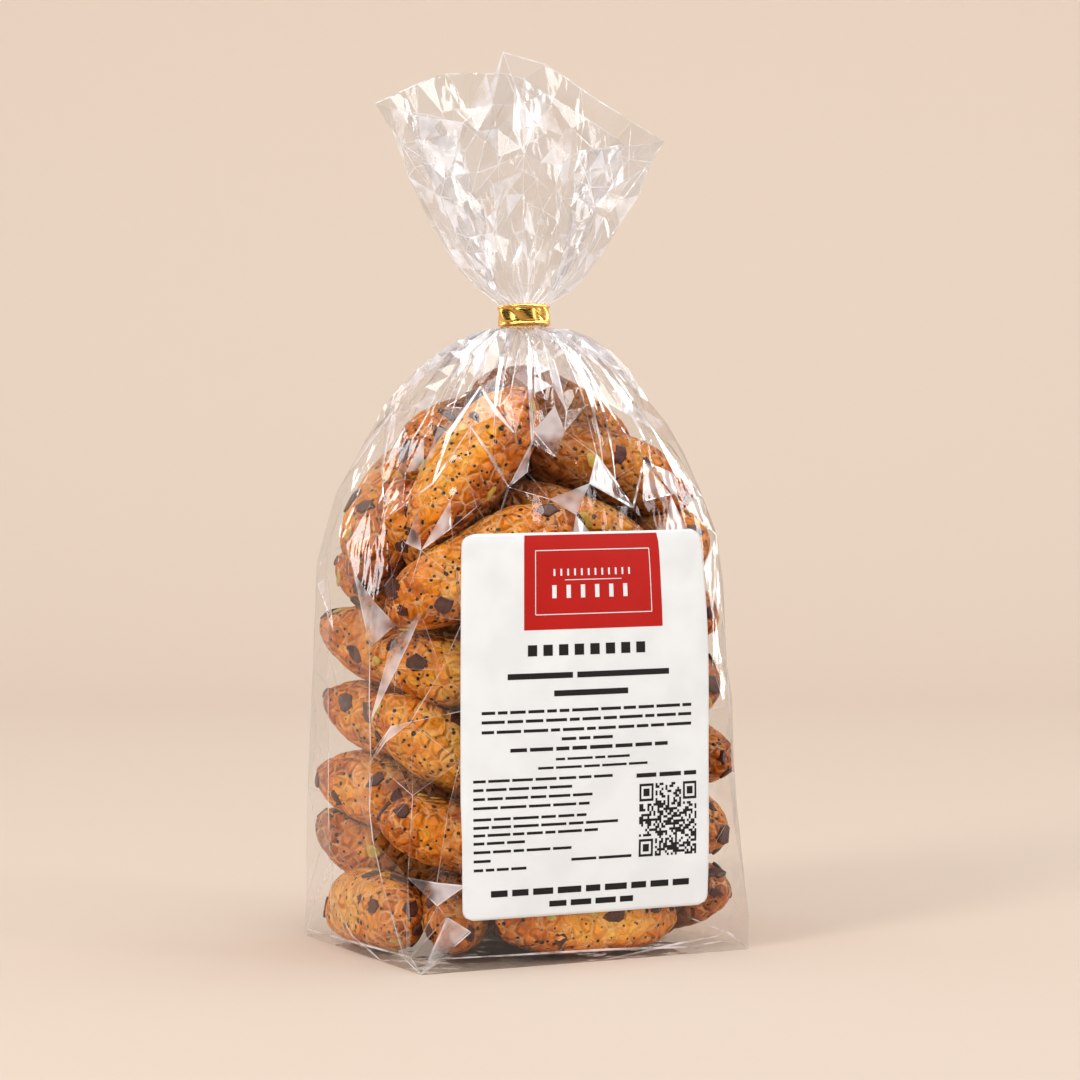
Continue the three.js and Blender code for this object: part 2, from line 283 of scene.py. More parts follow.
# Crust colours, all linear: from deep baked brown to the pale cut face
CRUST_STOPS = [
    (0.25, (0.27, 0.042, 0.002)),
    (0.42, (0.59, 0.132, 0.005)),
    (0.56, (0.86, 0.250, 0.010)),
    (0.72, (0.97, 0.385, 0.032)),
    (0.92, (0.98, 0.560, 0.110)),
]
CRUST_PALENESS = -0.25
FACET_SIZE = 4.8
DEEP_SHADE = 0.8
# Colour of the painted highlights on rims along the cobbles and round the pores
RIM_HIGHLIGHT_COLOR = (0.93, 0.55, 0.22)
# Colour of the painted shade in the cracks and deep inside the bag
GROOVE_AND_DEPTH_SHADE_COLOR = (0.17, 0.045, 0.010)
# Colour of the painted shade in the pores
PORE_SHADE_COLOR = (0.022, 0.008, 0.003)
PORE_SPACING = 2.3
PORE_SHARE = 0.4
CHOCOLATE_STOPS = [(0.3, (0.045, 0.012, 0.007)), (0.7, (0.12, 0.036, 0.022))]
PISTACHIO_STOPS = [(0.3, (0.42, 0.24, 0.03)), (0.5, (0.60, 0.40, 0.075)), (0.72, (0.76, 0.57, 0.17))]

# Film looks, as (name, milky share, gloss seen straight on, clear colour)
FILM_CLEAR = (0.985, 0.984, 0.982)
FILM_LOOKS = [
    ("clear_film", 0.004, 0.045, FILM_CLEAR),
    # The folded look whitens the crease strips, partly as stress whitening and partly as painted highlight
    ("folded_film", 0.5, 0.12, FILM_CLEAR),
    # The third look is a painted highlight: film made milky white as if it reflected a lamp
    ("painted_highlight_film", 0.5, 0.12, FILM_CLEAR),
    ("gathered_film", 0.08, 0.06, (0.93, 0.93, 0.935)),
]
# The fold strips and streaks: whitened partly as stress whitening and partly as painted highlight
FOLD_WHITENING_AND_HIGHLIGHT = ("fold_whitening_and_highlight", 0.62, 0.2, FILM_CLEAR)
FILM_MILK = (0.57, 0.575, 0.61)
FILM_ROUGHNESS = 0.07
FILM_GRAZING_POWER = 4.6
VEIL_THIN = 0.25
VEIL_THICK = 1.6

# Gold band
BAND_COLOR = (0.86, 0.50, 0.12)
BAND_ROWS = 34
BAND_COLUMNS = 220
BAND_RADIUS = 8.3
BAND_INNER_RADIUS = 7.9
BAND_HEIGHT = 7.2
BAND_TILT = math.radians(-4)
BAND_INNER_SHARE = 0.96
BAND_WAVES = [(0.06, 3, 1), (0.04, 7, 0)]
BAND_EDGE_WAVE = (0.03, 2, 0.6)
LIP_PLACE = 0.8
LIP_SPREAD = 0.16
LIP_HEIGHT = 0.6
BAND_TUCK = 0.4
TUCK_START = 0.93
LEAF_HEIGHT = 0.6
LEAF_COUNT = 6
LEAF_SLANT = 0.4
LEAF_START = 0.3
LEAF_ROUNDING = 1.2
LEAF_FADE = (0.45, 0.72)

# Label, in millimetres across and up from its lower left corner
LABEL_WIDTH = 88
LABEL_HEIGHT = 124
LABEL_CENTRE_X = -1.5
LABEL_BOTTOM_Z = 16.5
LABEL_CORNER = 3.5
LABEL_THICKNESS = 0.25
LABEL_GAP = 0.5
LABEL_ROWS = 125
LABEL_COLUMNS = 89
LABEL_WAVE = 0.9
LABEL_WAVES = 1.5
WAVE_START = 0.7
LABEL_RIPPLE = 0.12
RIPPLE_WIDTH = 9
RIPPLE_HEIGHT = 13
LABEL_MARGIN = 14
LABEL_DENT = (79, 107, 7)
LABEL_DENT_DEPTH = -0.5
LABEL_WHITE = (0.83, 0.86, 0.88)
LABEL_RED = (0.50, 0.010, 0.006)
LABEL_INK = (0.018, 0.016, 0.016)

# Print: boxes and bars as (left, right, bottom, top), lines as (left, right, middle height, height)
PRINT_LIFT = 0.05
PRINT_STEP = 3.0
PANEL_BOX = (21.7, 70.4, 92.8, 123.2)
PANEL_FRAME = (25.7, 66.6, 97.7, 118.3)
PANEL_LINE = 0.28
PANEL_BLOCKS = [(32, 61, 111.2, 2.2, 12, 0.26), (31.5, 61.5, 105, 4.2, 6, 0.3)]
PANEL_RULE = (36, 56, 108.6, 108.85)
TITLE_BLOCKS = (23, 66, 86.2, 3.6, 8, 0.6)
TITLE_LINES = [(16, 72.5, 78, 1.9, 16, 24), (32, 57.5, 72.2, 1.9, 26, 30)]
WORD_LENGTHS = (3.0, 9.0)
PRINT_LINES = [
    (7, 81, 66.6, 1.0), (7, 81, 63.6, 1.0), (7, 81, 60.4, 1.0), (34.5, 52, 57.4, 1.0),
    (17, 72, 54.3, 1.2), (32.5, 58, 50.9, 0.8), (26.5, 64.5, 48.2, 0.8),
    (4, 52, 44.7, 0.9), (4, 38, 41.9, 0.9), (4, 45, 39.0, 0.9), (4, 44, 36.1, 0.9),
    (60.5, 83, 44.1, 1.4),
    (4, 43, 32.4, 0.9), (4, 54, 29.8, 0.9), (4, 47, 27.3, 0.9), (4, 22, 24.7, 0.9),
    (4, 38, 21.9, 0.9), (4, 10, 19.0, 0.9), (4, 22.5, 16.1, 0.9), (38, 59, 18.0, 0.9),
    (10, 80.5, 8.2, 2.1), (30.5, 60, 3.9, 1.9),
]
CODE_BOX = (61.6, 83, 17.3, 41.3)
CODE_CELLS = 29
MARKER_CELLS = 7

# Studio: a sweep, whose tone is linear and fades over a depth in metres, darker towards the camera as
# painted shade
SWEEP_NEAR = (0.65, 0.525, 0.43)
SWEEP_FAR = (0.785, 0.65, 0.54)
SWEEP_FADE = (-0.7, 1.0)
SWEEP_FLOOR = [-1700, -600, 0, 400]
SWEEP_DEPTH = 900
SWEEP_RADIUS = 700
SWEEP_TOP = 2600
SWEEP_SIDES = np.array([-2600, -900, 0, 900, 2600])
WORLD_COLOR = (1, 0.99, 0.97)
WORLD_STRENGTH = 0.84

# Softboxes, as (azimuth, elevation, distance, width, height, radiance, reflections only), in metres
LIGHT_TARGET = Vector((0, 0, 0.13))
SOFTBOXES = {
    "key_left": (-68, 32, 1.6, 0.36, 0.6, 13),
    "overhead": (-10, 74, 1.4, 0.5, 0.5, 4),
    "front_right": (38, 14, 1.6, 0.22, 0.9, 7),
    "back_left": (-146, 18, 1.5, 0.25, 0.9, 8, True),
    "right_edge": (86, 12, 1.5, 0.25, 0.9, 10, True),
    "top_panel": (-26, 82, 1.8, 1.2, 1.2, 6, True),
    "left_high": (-112, 60, 2.0, 0.9, 1.4, 5, True),
    "right_high": (72, 58, 2.0, 1.7, 1.5, 8, True),
}


# Camera
def add_camera():
    centre = IMAGE_SIZE / 2
    data = bpy.data.cameras.new("camera")
    data.sensor_width = SENSOR_WIDTH
    data.lens = SENSOR_WIDTH * FOCAL_PIXELS / IMAGE_SIZE
    camera = bpy.data.objects.new("camera", data)
    camera.location = (CAMERA_HEIGHT * UP - CAMERA_DISTANCE * VIEW_FORWARD) * MM
    pan = (centre - NECK_AXIS_X) / FOCAL_PIXELS
    drop = (centre - HORIZON_Y) / FOCAL_PIXELS
    direction = Vector(VIEW_FORWARD + pan * VIEW_RIGHT - drop * UP)
    camera.rotation_euler = direction.to_track_quat("-Z", "Y").to_euler()
    bpy.context.collection.objects.link(camera)
    bpy.context.scene.camera = camera


# Mesh helpers
def build_mesh(name, points, faces, material_of=None, attributes=None, smooth=True):
    """Points in millimetres and triangles or quads as numpy arrays become an object in metres."""
    mesh = bpy.data.meshes.new(name)
    mesh.vertices.add(len(points))
    mesh.vertices.foreach_set("co", (np.asarray(points, dtype=np.float32) * MM).ravel())
    mesh.loops.add(faces.size)
    mesh.loops.foreach_set("vertex_index", faces.astype(np.int32).ravel())
    mesh.polygons.add(len(faces))
    mesh.polygons.foreach_set("loop_start", np.arange(0, faces.size, faces.shape[1], dtype=np.int32))
    if material_of is not None:
        mesh.polygons.foreach_set("material_index", material_of.astype(np.int32))
    mesh.update(calc_edges=True)
    mesh.validate()
    mesh.polygons.foreach_set("use_smooth", np.full(len(mesh.polygons), smooth))
    for key, values in (attributes or {}).items():
        attribute = mesh.attributes.new(key, "FLOAT", "POINT")
        attribute.data.foreach_set("value", values.astype(np.float32))
    thing = bpy.data.objects.new(name, mesh)
    bpy.context.collection.objects.link(thing)
    return thing


def grid_faces(rows, columns, closed=True):
    """Quads over rows of points, closed round each row or open at its ends."""
    steps = columns if closed else columns - 1
    row, column = np.meshgrid(np.arange(rows - 1), np.arange(steps), indexing="ij")
    after = (column + 1) % columns
    quads = np.stack([row * columns + column, row * columns + after,
                      (row + 1) * columns + after, (row + 1) * columns + column], axis=-1)
    return quads.reshape(-1, 4)


def capped_faces(rows, columns):
    """Triangles over closed rows of points, and round two tips whose points follow the rows."""
    quads = grid_faces(rows, columns)
    column = np.arange(columns)
    after = (column + 1) % columns
    last = (rows - 1) * columns
    tip = np.full(columns, rows * columns)
    start = np.stack([tip, after, column], axis=-1)
    end = np.stack([tip + 1, last + column, last + after], axis=-1)
    return np.concatenate([quads[:, [0, 1, 2]], quads[:, [0, 2, 3]], start, end])


def between_tips(rows):
    """Shares from -1 to 1, closer towards the ends, for rows that leave both tips free."""
    return np.sin(math.pi / 2 * np.linspace(-1, 1, rows + 2)[1:-1])[:, None]


def full_turn(columns):
    return 2 * math.pi * np.arange(columns) / columns


def smooth_step(low, high, value):
    share = np.clip((value - low) / (high - low), 0, 1)
    return share * share * (3 - 2 * share)


class Gathered:
    """Collects shapes and their attributes for one joined mesh."""

    def __init__(self):
        self.points, self.faces, self.attributes, self.count = [], [], {}, 0

    def add(self, points, faces, **attributes):
        self.points.append(points)
        self.faces.append(faces + self.count)
        for key, value in attributes.items():
            self.attributes.setdefault(key, []).append(np.broadcast_to(value, len(points)))
        self.count += len(points)

    def build(self, name, smooth=True):
        attributes = {key: np.concatenate(values) for key, values in self.attributes.items()}
        return build_mesh(name, np.concatenate(self.points), np.concatenate(self.faces),
                          attributes=attributes, smooth=smooth)


# Bag sections
def base_outline(position):
    """X and Y of the base's edge, for millimetres round it."""
    half_x, half_y = BAG_WIDTH / 2, BAG_DEPTH / 2
    p = np.mod(position, PERIMETER)
    sides = [p < FRONT_RIGHT, p < BACK_RIGHT, p < BACK_LEFT]
    x = np.select(sides, [p - half_x, half_x, half_x - (p - BACK_RIGHT)], -half_x)
    y = np.select(sides, [-half_y, p - FRONT_RIGHT - half_y, half_y], half_y - (p - BACK_LEFT))
    return x, y


def ring_point(position, radius):
    """X and Y on a circle about the neck, for millimetres round the base."""
    angle = math.atan2(-BAG_DEPTH, -BAG_WIDTH) + 2 * math.pi * position / PERIMETER
    return np.cos(angle) * radius, np.sin(angle) * radius


def corner_reach(x, y, z):
    """How far along X and Y the nearest corner is rounded at a height."""
    reach_x, reach_y = np.zeros_like(x), np.zeros_like(x)
    for (side_x, side_y), (full_x, full_y) in CORNER_REACH.items():
        full_z = FRONT_LEFT_FULL_Z if (side_x, side_y) == (-1, -1) else CORNER_FULL_Z
        share = np.clip((z - CORNER_START_Z) / (full_z - CORNER_START_Z), 0, 1) ** CORNER_POWER
        here = ((x < 0) == (side_x < 0)) & ((y < 0) == (side_y < 0))
        reach_x = np.where(here, full_x * share, reach_x)
        reach_y = np.where(here, full_y * share, reach_y)
    return reach_x, reach_y


def body_point(position, z):
    """X and Y of the bag's surface below the tie, for millimetres round the base and a height."""
    position, z = np.broadcast_arrays(np.asarray(position, float), np.asarray(z, float))
    sharp_x, sharp_y = base_outline(position)
    reach_x, reach_y = corner_reach(sharp_x, sharp_y, z)
    centre_x = np.sign(sharp_x) * (BAG_WIDTH / 2 - reach_x)
    centre_y = np.sign(sharp_y) * (BAG_DEPTH / 2 - reach_y)
    beyond = (reach_x > 0) & (np.abs(sharp_x) > np.abs(centre_x)) & (np.abs(sharp_y) > np.abs(centre_y))
    along_x = (sharp_x - centre_x) / np.maximum(reach_x, 1e-6)
    along_y = (sharp_y - centre_y) / np.maximum(reach_y, 1e-6)
    length = np.maximum(np.hypot(along_x, along_y), 1e-6)
    x = np.where(beyond, centre_x + along_x / length * reach_x, sharp_x)
    y = np.where(beyond, centre_y + along_y / length * reach_y, sharp_y)
    across = np.maximum(1 - (sharp_x / (BAG_WIDTH / 2)) ** 2, 1 - (sharp_y / (BAG_DEPTH / 2)) ** 2)
    up = np.sin(math.pi * np.minimum(1, z / SHOULDER_Z)) ** BULGE_POWER
    stretch = 1 + SIDE_BULGE * np.maximum(across, 0) * np.maximum(up, 0) / np.hypot(x, y)
    height = np.clip((DOME_TOP_Z - z) / (DOME_TOP_Z - SHOULDER_Z), 0, 1) ** DOME_POWER
    round_x, round_y = ring_point(position, DOME_RADIUS)
    x = (x * stretch * height + round_x * (1 - height)) * height
    y = (y * stretch * height + round_y * (1 - height)) * height
    return x, y


def body_surface(position, z):
    x, y = body_point(position, z)
    return np.stack([x, y, z], axis=-1)


def surface_normals(surface, position, level, step=0.5):
    along = surface(position + step, level) - surface(position - step, level)
    up = surface(position, level + step) - surface(position, level - step)
    normal = np.cross(along, up)
    return normal / np.maximum(np.linalg.norm(normal, axis=-1, keepdims=True), 1e-9)


def body_normals(position, z):
    return surface_normals(body_surface, position, np.clip(z, 1, DOME_TOP_Z - 1))


# Biscotti
def cells(points, size, seed):
    """Distances to the nearest and second nearest of scattered cell centres, and a number for each cell."""
    low = np.floor(points.min(axis=0) / size).astype(int) - 2
    counts = np.floor(points.max(axis=0) / size).astype(int) + 3 - low
    draw = np.random.default_rng(seed)
    jitter = draw.random((*counts, 3))
    value = draw.random(tuple(counts))
    home = np.floor(points / size).astype(int) - low
    nearest = np.full(len(points), np.inf)
    second = np.full(len(points), np.inf)
    cell_value = np.zeros(len(points))
    for offset in np.ndindex(3, 3, 3):
        index = home + np.array(offset) - 1
        i, j, k = index.T
        centre = (index + low + jitter[i, j, k]) * size
        distance = np.linalg.norm(points - centre, axis=1)
        closer = distance < nearest
        second = np.where(closer, nearest, np.minimum(second, distance))
        cell_value = np.where(closer, value[i, j, k], cell_value)
        nearest = np.where(closer, distance, nearest)
    return nearest, second, cell_value


def soft_noise(points, size, seed):
    """Smooth noise between -1 and 1, interpolated in a lattice of random numbers."""
    scaled = points / size
    low = np.floor(scaled.min(axis=0)).astype(int)
    counts = np.floor(scaled.max(axis=0)).astype(int) - low + 2
    lattice = np.random.default_rng(seed).uniform(-1, 1, tuple(counts))
    cell = np.floor(scaled).astype(int)
    share = smooth_step(0, 1, scaled - cell)
    total = np.zeros(len(points))
    for corner in np.ndindex(2, 2, 2):
        weight = np.prod(np.where(np.array(corner), share, 1 - share), axis=1)
        i, j, k = (cell - low + np.array(corner)).T
        total += weight * lattice[i, j, k]
    return total


def section_sizes(far, *sizes):
    """A biscotto's half thickness, rise and drop, at a share of the way from its middle to a tip."""
    return [size * (1 - far ** fade) ** TIP_ROUNDING for size, fade in zip(sizes, TIP_FADES)]


def biscuit_form(length, thickness, dome, bend):
    """Rings of points round one biscotto, and its two tips."""
    along = between_tips(RINGS)
    angle = full_turn(AROUND)[None, :]
    cosine, sine = np.cos(angle), np.sin(angle)
    radius = (np.abs(cosine) ** SECTION_POWER + np.abs(sine) ** SECTION_POWER) ** (-1 / SECTION_POWER)
    far = np.abs(along)
    half_thickness, top, low = section_sizes(far, thickness / 2, dome, BISCUIT_BOTTOM)
    x = length / 2 * along + 0 * angle
    y = half_thickness * cosine * radius + bend * (1 - far ** 2)
    z = np.where(sine >= 0, top, low) * sine * radius
    tips = np.array([[-length / 2, 0, 0], [length / 2, 0, 0]])
    return np.concatenate([np.stack([x, y, z], axis=-1).reshape(-1, 3), tips])


def vertex_normals(points, faces):
    a, b, c = points[faces[:, 0]], points[faces[:, 1]], points[faces[:, 2]]
    face_normal = np.cross(b - a, c - a)
    normal = np.zeros_like(points)
    for corner in range(3):
        np.add.at(normal, faces[:, corner], face_normal)
    return normal / np.linalg.norm(normal, axis=1, keepdims=True)


def biscuit(seed, faces):
    """One biscotto at the origin: its points, and its relief and paleness for the crust's material."""
    draw = np.random.default_rng(seed)
    length = BISCUIT_LENGTH * draw.uniform(*LENGTH_RANGE)
    thickness = BISCUIT_THICKNESS * draw.uniform(*THICKNESS_RANGE)
    dome = BISCUIT_DOME * draw.uniform(*DOME_RANGE)
    points = biscuit_form(length, thickness, dome, draw.uniform(-BEND, BEND))
    normal = vertex_normals(points, faces)
    nearest, second, value = cells(points, COBBLE_SIZE, seed + 1)
    pillow = 1 - np.clip(nearest / (PILLOW_SHARE * COBBLE_SIZE), 0, 1) ** 3
    groove = np.exp(-(((second - nearest) / (GROOVE_WIDTH * COBBLE_SIZE)) ** 2))
    relief = COBBLE_HEIGHT * (pillow - 0.5) * (0.6 + 0.8 * value) - GROOVE_DEPTH * groove
    lumps = LUMP_HEIGHT * soft_noise(points, LUMP_SIZE, seed + 2)
    far = np.abs(points[:, 0]) / (length / 2)
    pale = (1 - far ** 2) * smooth_step(PALE_START, 1, np.maximum(np.abs(normal[:, 1]), normal[:, 2]))
    points = points + normal * (relief + lumps)[:, None]
    return points, {"relief": np.clip(0.5 + relief / (2 * COBBLE_HEIGHT), 0, 1), "pale": pale}


# Packing
def turn(heading, pitch, roll):
    """Rotation for a biscotto: roll about its length, then its right end up by pitch, then about Z."""
    h, p, r = (math.radians(value) for value in (heading, -pitch, roll))
    about_x = np.array([[1, 0, 0], [0, math.cos(r), -math.sin(r)], [0, math.sin(r), math.cos(r)]])
    about_y = np.array([[math.cos(p), 0, math.sin(p)], [0, 1, 0], [-math.sin(p), 0, math.cos(p)]])
    about_z = np.array([[math.cos(h), -math.sin(h), 0], [math.sin(h), math.cos(h), 0], [0, 0, 1]])
    return about_z @ about_y @ about_x


def ball_chain():
    """Centres and radii of the balls that stand for one biscotto."""
    far = np.abs(STATIONS)
    half_thickness, top, low = section_sizes(far, BISCUIT_THICKNESS / 2, BISCUIT_DOME, BISCUIT_BOTTOM)
    radius = np.minimum(half_thickness, (top + low) / 2)
    x = STATIONS * BISCUIT_LENGTH / 2
    upper = np.stack([x, 0 * x, top - radius], axis=-1)
    lower = np.stack([x, 0 * x, radius - low], axis=-1)
    return np.concatenate([upper, lower]), np.concatenate([radius, radius])


def pose_from_tip(tip, heading, pitch, roll):
    """A biscotto's pose from the place of its left tip."""
    lean, course = math.radians(pitch), math.radians(heading)
    reach = BISCUIT_LENGTH / 2
    x = tip[0] + reach * math.cos(lean) * math.cos(course)
    y = tip[1] + reach * math.cos(lean) * math.sin(course)
    return x, y, tip[2] + reach * math.sin(lean), heading, pitch, roll


def all_poses():
    """The heap's biscotti: two stacks at the left, layers behind them, and the pieces below and on top."""
    draw = np.random.default_rng(43)
    poses = [pose_from_tip((*LEFT_TIP, z), LEFT_HEADING, pitch, 90) for z, pitch in LEFT_STACK]
    poses += [pose_from_tip((*FRONT_TIP, z), FRONT_HEADING, pitch, 90) for z, pitch in FRONT_STACK]
    for layer in range(LAYERS):
        places = LAYER_PLACES.copy()
        places[:, 2] += FLOOR_Z + LAYER_PITCH * layer
        places[:, 4] *= LAYER_LEANS[layer % 2]
        places[:, 3:] += draw.uniform(-1, 1, (3, 3)) * SWAY
        poses += list(places)
    return np.array(poses + FLOOR_PIECES + TOP_PIECES)


def place_balls(rotations, centres, local):
    return (np.einsum("nij,kj->nki", rotations, local) + centres[:, None]).reshape(-1, 3)


def pushed_apart(balls, radii, shared):
    """The balls, moved off those of other biscotti that they overlap."""
    gap = balls[:, None] - balls[None]
    distance = np.linalg.norm(gap, axis=-1) + 1e-6
    overlap = np.where(shared, 0, np.maximum(radii[:, None] + radii[None] - distance, 0))
    touching = np.maximum((overlap > 0).sum(axis=1), 1)
    push = (gap / distance[..., None] * overlap[..., None]).sum(axis=1)
    return balls + push / (1 + CROWDING * touching)[:, None]


def pushed_inside(balls, radii, positions):
    """The balls, moved back from the film and up from the floor."""
    near_top = balls[:, 2] > SHOULDER_Z - TOP_ZONE
    level = np.maximum(balls[:, 2] + np.where(near_top, TOP_REACH * radii, 0), 0)
    ring_x, ring_y = body_point(positions[None], level[:, None])
    ahead_x, ahead_y = np.roll(ring_x, -1, axis=1) - ring_x, np.roll(ring_y, -1, axis=1) - ring_y
    size = np.maximum(np.hypot(ahead_x, ahead_y), 1e-6)
    outward_x, outward_y = ahead_y / size, -ahead_x / size
    depth = (balls[:, :1] - ring_x) * outward_x + (balls[:, 1:2] - ring_y) * outward_y
    wall = depth.argmax(axis=1)
    row = np.arange(len(balls))
    beyond = np.maximum(depth[row, wall] + radii + FILM_CLEARANCE, 0)
    x = balls[:, 0] - beyond * outward_x[row, wall]
    y = balls[:, 1] - beyond * outward_y[row, wall]
    return np.column_stack([x, y, np.maximum(balls[:, 2], radii + FLOOR_LIFT)])


def rigid_fit(moved, local):
    """The turn and the centre of each biscotto that follow its moved balls best."""
    middle = local.mean(axis=0)
    mean = moved.mean(axis=1)
    spread = np.einsum("nki,kj->nij", moved - mean[:, None], local - middle)
    u, _, v = np.linalg.svd(spread)
    u[:, :, 2] *= np.sign(np.linalg.det(u @ v))[:, None]
    rotations = u @ v
    return rotations, mean - np.einsum("nij,j->ni", rotations, middle)


def settle(poses):
    """Moves the biscotti until they neither overlap nor reach through the film."""
    local, radius = ball_chain()
    count = len(poses)
    rotations = np.array([turn(*pose[3:]) for pose in poses])
    centres = poses[:, :3].copy()
    wanted = place_balls(rotations, centres, local)
    owner = np.repeat(np.arange(count), len(local))
    shared = owner[:, None] == owner[None, :]
    radii = np.tile(radius, count)
    positions = np.arange(0, PERIMETER, OUTLINE_STEP)
    for _ in range(SETTLE_STEPS):
        balls = place_balls(rotations, centres, local)
        balls += HOLD * (wanted - balls)
        balls = pushed_inside(pushed_apart(balls, radii, shared), radii, positions)
        rotations, centres = rigid_fit(balls.reshape(count, -1, 3), local)
    return rotations, centres


def wall_table():
    """The film's distance from the axis, for whole steps of angle and of height."""
    positions = np.linspace(0, PERIMETER, 2 * WALL_ANGLES)
    angles = np.linspace(-math.pi, math.pi, WALL_ANGLES)
    rows = []
    for z in np.arange(0, DOME_TOP_Z, WALL_STEP):
        x, y = body_point(positions, z)
        around = np.arctan2(y, x)
        order = np.argsort(around)
        rows.append(np.interp(angles, around[order], np.hypot(x, y)[order], period=2 * math.pi))
    return np.array(rows)


def wall_distance(points, walls):
    """How far the film is from the axis, in the direction and at the height of each point."""
    row = np.clip((points[:, 2] / WALL_STEP).astype(int), 0, len(walls) - 1)
    share = np.arctan2(points[:, 1], points[:, 0]) / (2 * math.pi) + 0.5
    return walls[row, (share * (WALL_ANGLES - 1)).round().astype(int)]


def painted_depth_shade(points, walls):
    """How deep points lie behind the film, from 0 near it to 1 well inside: the share of painted shade on
    the crust.
    """
    depth = wall_distance(points, walls) - np.hypot(points[:, 0], points[:, 1])
    return smooth_step(DEPTH_LIT, DEPTH_DARK, depth)


def hold_inside(points, walls):
    """Draws points that reach the film or the floor back inside them."""
    reach = np.hypot(points[:, 0], points[:, 1])
    limit = wall_distance(points, walls) - FILM_REACH
    points[:, :2] *= np.minimum(1, limit / np.maximum(reach, 1))[:, None]
    points[:, 2] = np.maximum(points[:, 2], FLOOR_GAP)
    return points


# Inclusions
def chunk(draw):
    """A broken piece of chocolate: an uneven prism with a crowned top, half sunk below z = 0."""
    radius = draw.uniform(*CHUNK_RADIUS)
    rise = draw.uniform(*CHUNK_RISE)
    corners = draw.integers(6, 10)
    angle = (np.arange(corners) + draw.uniform(-0.3, 0.3, corners)) * 2 * math.pi / corners
    reach = radius * draw.uniform(*CHUNK_REACH, corners)
    outline = np.stack([np.cos(angle) * reach, np.sin(angle) * reach], axis=-1)
    outline[:, 1] *= draw.uniform(0.65, 1)
    levels = [(-CHUNK_DEPTH, 0.8), (0, 1.0), (rise * 0.6, 0.93), (rise, 0.7)]
    rings = [np.column_stack([outline * scale, np.full(corners, z)]) for z, scale in levels]
    tips = np.array([[0, 0, -CHUNK_DEPTH], [0, 0, rise * 1.15]])
    return np.concatenate([*rings, tips]), capped_faces(len(levels), corners)


def kernel(draw):
    """A split nut kernel: a flattened, slightly uneven ellipsoid."""
    length, width = draw.uniform(*KERNEL_LENGTH), draw.uniform(*KERNEL_WIDTH)
    height = draw.uniform(*KERNEL_HEIGHT)
    up = between_tips(KERNEL_ROWS)
    around = full_turn(KERNEL_COLUMNS)[None]
    across = np.sqrt(1 - up ** 2)
    uneven = 1
    for waves in (2, 3):
        uneven = uneven + KERNEL_WAVE * np.sin(waves * around + draw.uniform(0, 6))
    x = length / 2 * across * np.cos(around) * uneven
    y = width / 2 * across * np.sin(around) * uneven
    z = height * up + 0 * around
    tips = np.array([[0, 0, -height], [0, 0, height]])
    points = np.concatenate([np.stack([x, y, z], axis=-1).reshape(-1, 3), tips])
    return points, capped_faces(KERNEL_ROWS, KERNEL_COLUMNS)


def seat(points, place, normal, spin):
    """Stands a shape on a surface point, with its Z along the normal."""
    helper = np.array([1.0, 0, 0]) if abs(normal[0]) < 0.8 else np.array([0, 1.0, 0])
    side = np.cross(normal, helper)
    side /= np.linalg.norm(side)
    up = np.cross(normal, side)
    first = side * math.cos(spin) + up * math.sin(spin)
    second = np.cross(normal, first)
    return place + points[:, :1] * first + points[:, 1:2] * second + points[:, 2:] * normal


def add_inclusions(points, normal, walls, draw, chocolate, pistachio):
    """Sets chocolate chunks and nut kernels into the crust, clear of each other."""
    taken = []
    for index in range(CHUNKS_PER_BISCUIT + KERNELS_PER_BISCUIT):
        for _ in range(PLACE_TRIES):
            vertex = draw.integers(RINGS * AROUND)
            place = points[vertex]
            if all(np.linalg.norm(place - other) > INCLUSION_SPACING for other in taken):
                break
        taken.append(place)
        spin = draw.uniform(0, 2 * math.pi)
        make, group = (chunk, chocolate) if index < CHUNKS_PER_BISCUIT else (kernel, pistachio)
        shape, faces = make(draw)
        group.add(hold_inside(seat(shape, place, normal[vertex], spin), walls), faces)


def add_biscotti():
    faces = capped_faces(RINGS, AROUND)
    rotations, centres = settle(all_poses())
    walls = wall_table()
    chocolate, pistachio, group = Gathered(), Gathered(), Gathered()
    pieces = []
    for index, (rotation, centre) in enumerate(zip(rotations, centres)):
        points, marks = biscuit(100 * index + 7, faces)
        points = hold_inside(points @ rotation.T + centre, walls)
        draw = np.random.default_rng(5000 + index)
        group.add(points, faces, tone=draw.random(), deep=painted_depth_shade(points, walls), **marks)
        add_inclusions(points, vertex_normals(points, faces), walls, draw, chocolate, pistachio)
        if (index + 1) % BISCUITS_PER_PIECE == 0 or index + 1 == len(centres):
            pieces.append(group.build(f"biscotti_{len(pieces) + 1}"))
            group = Gathered()
    return pieces, chocolate.build("chocolate_chunks", smooth=False), pistachio.build("pistachio_pieces")


# Film, laid flat: across it run millimetres round the base, and up it the film's length
def film_profile():
    """Heights of the bag's side and the film's length up to each, from the base to the tie."""
    rise = 1 - np.linspace(1, 0.1, PROFILE_STEPS) ** (1 / DOME_POWER)
    z = np.concatenate([[0], SHOULDER_Z + (DOME_TOP_Z - SHOULDER_Z) * rise])
    radius = DOME_RADIUS * np.clip((DOME_TOP_Z - z) / (DOME_TOP_Z - SHOULDER_Z), 0, 1) ** DOME_POWER
    return z, np.concatenate([[0], np.cumsum(np.hypot(np.diff(z), np.diff(radius)))])


PROFILE_Z, PROFILE_LENGTH = film_profile()
FILM_LENGTH = PROFILE_LENGTH[-1]


def film_length(z):
    return np.interp(z, PROFILE_Z, PROFILE_LENGTH)


def film_height(length):
    return np.interp(length, PROFILE_LENGTH, PROFILE_Z)


def laid_flat(line):
    """Spots given by their height, with the film's length up to them in its place."""
    return [(position, float(film_length(z))) for position, z in line]


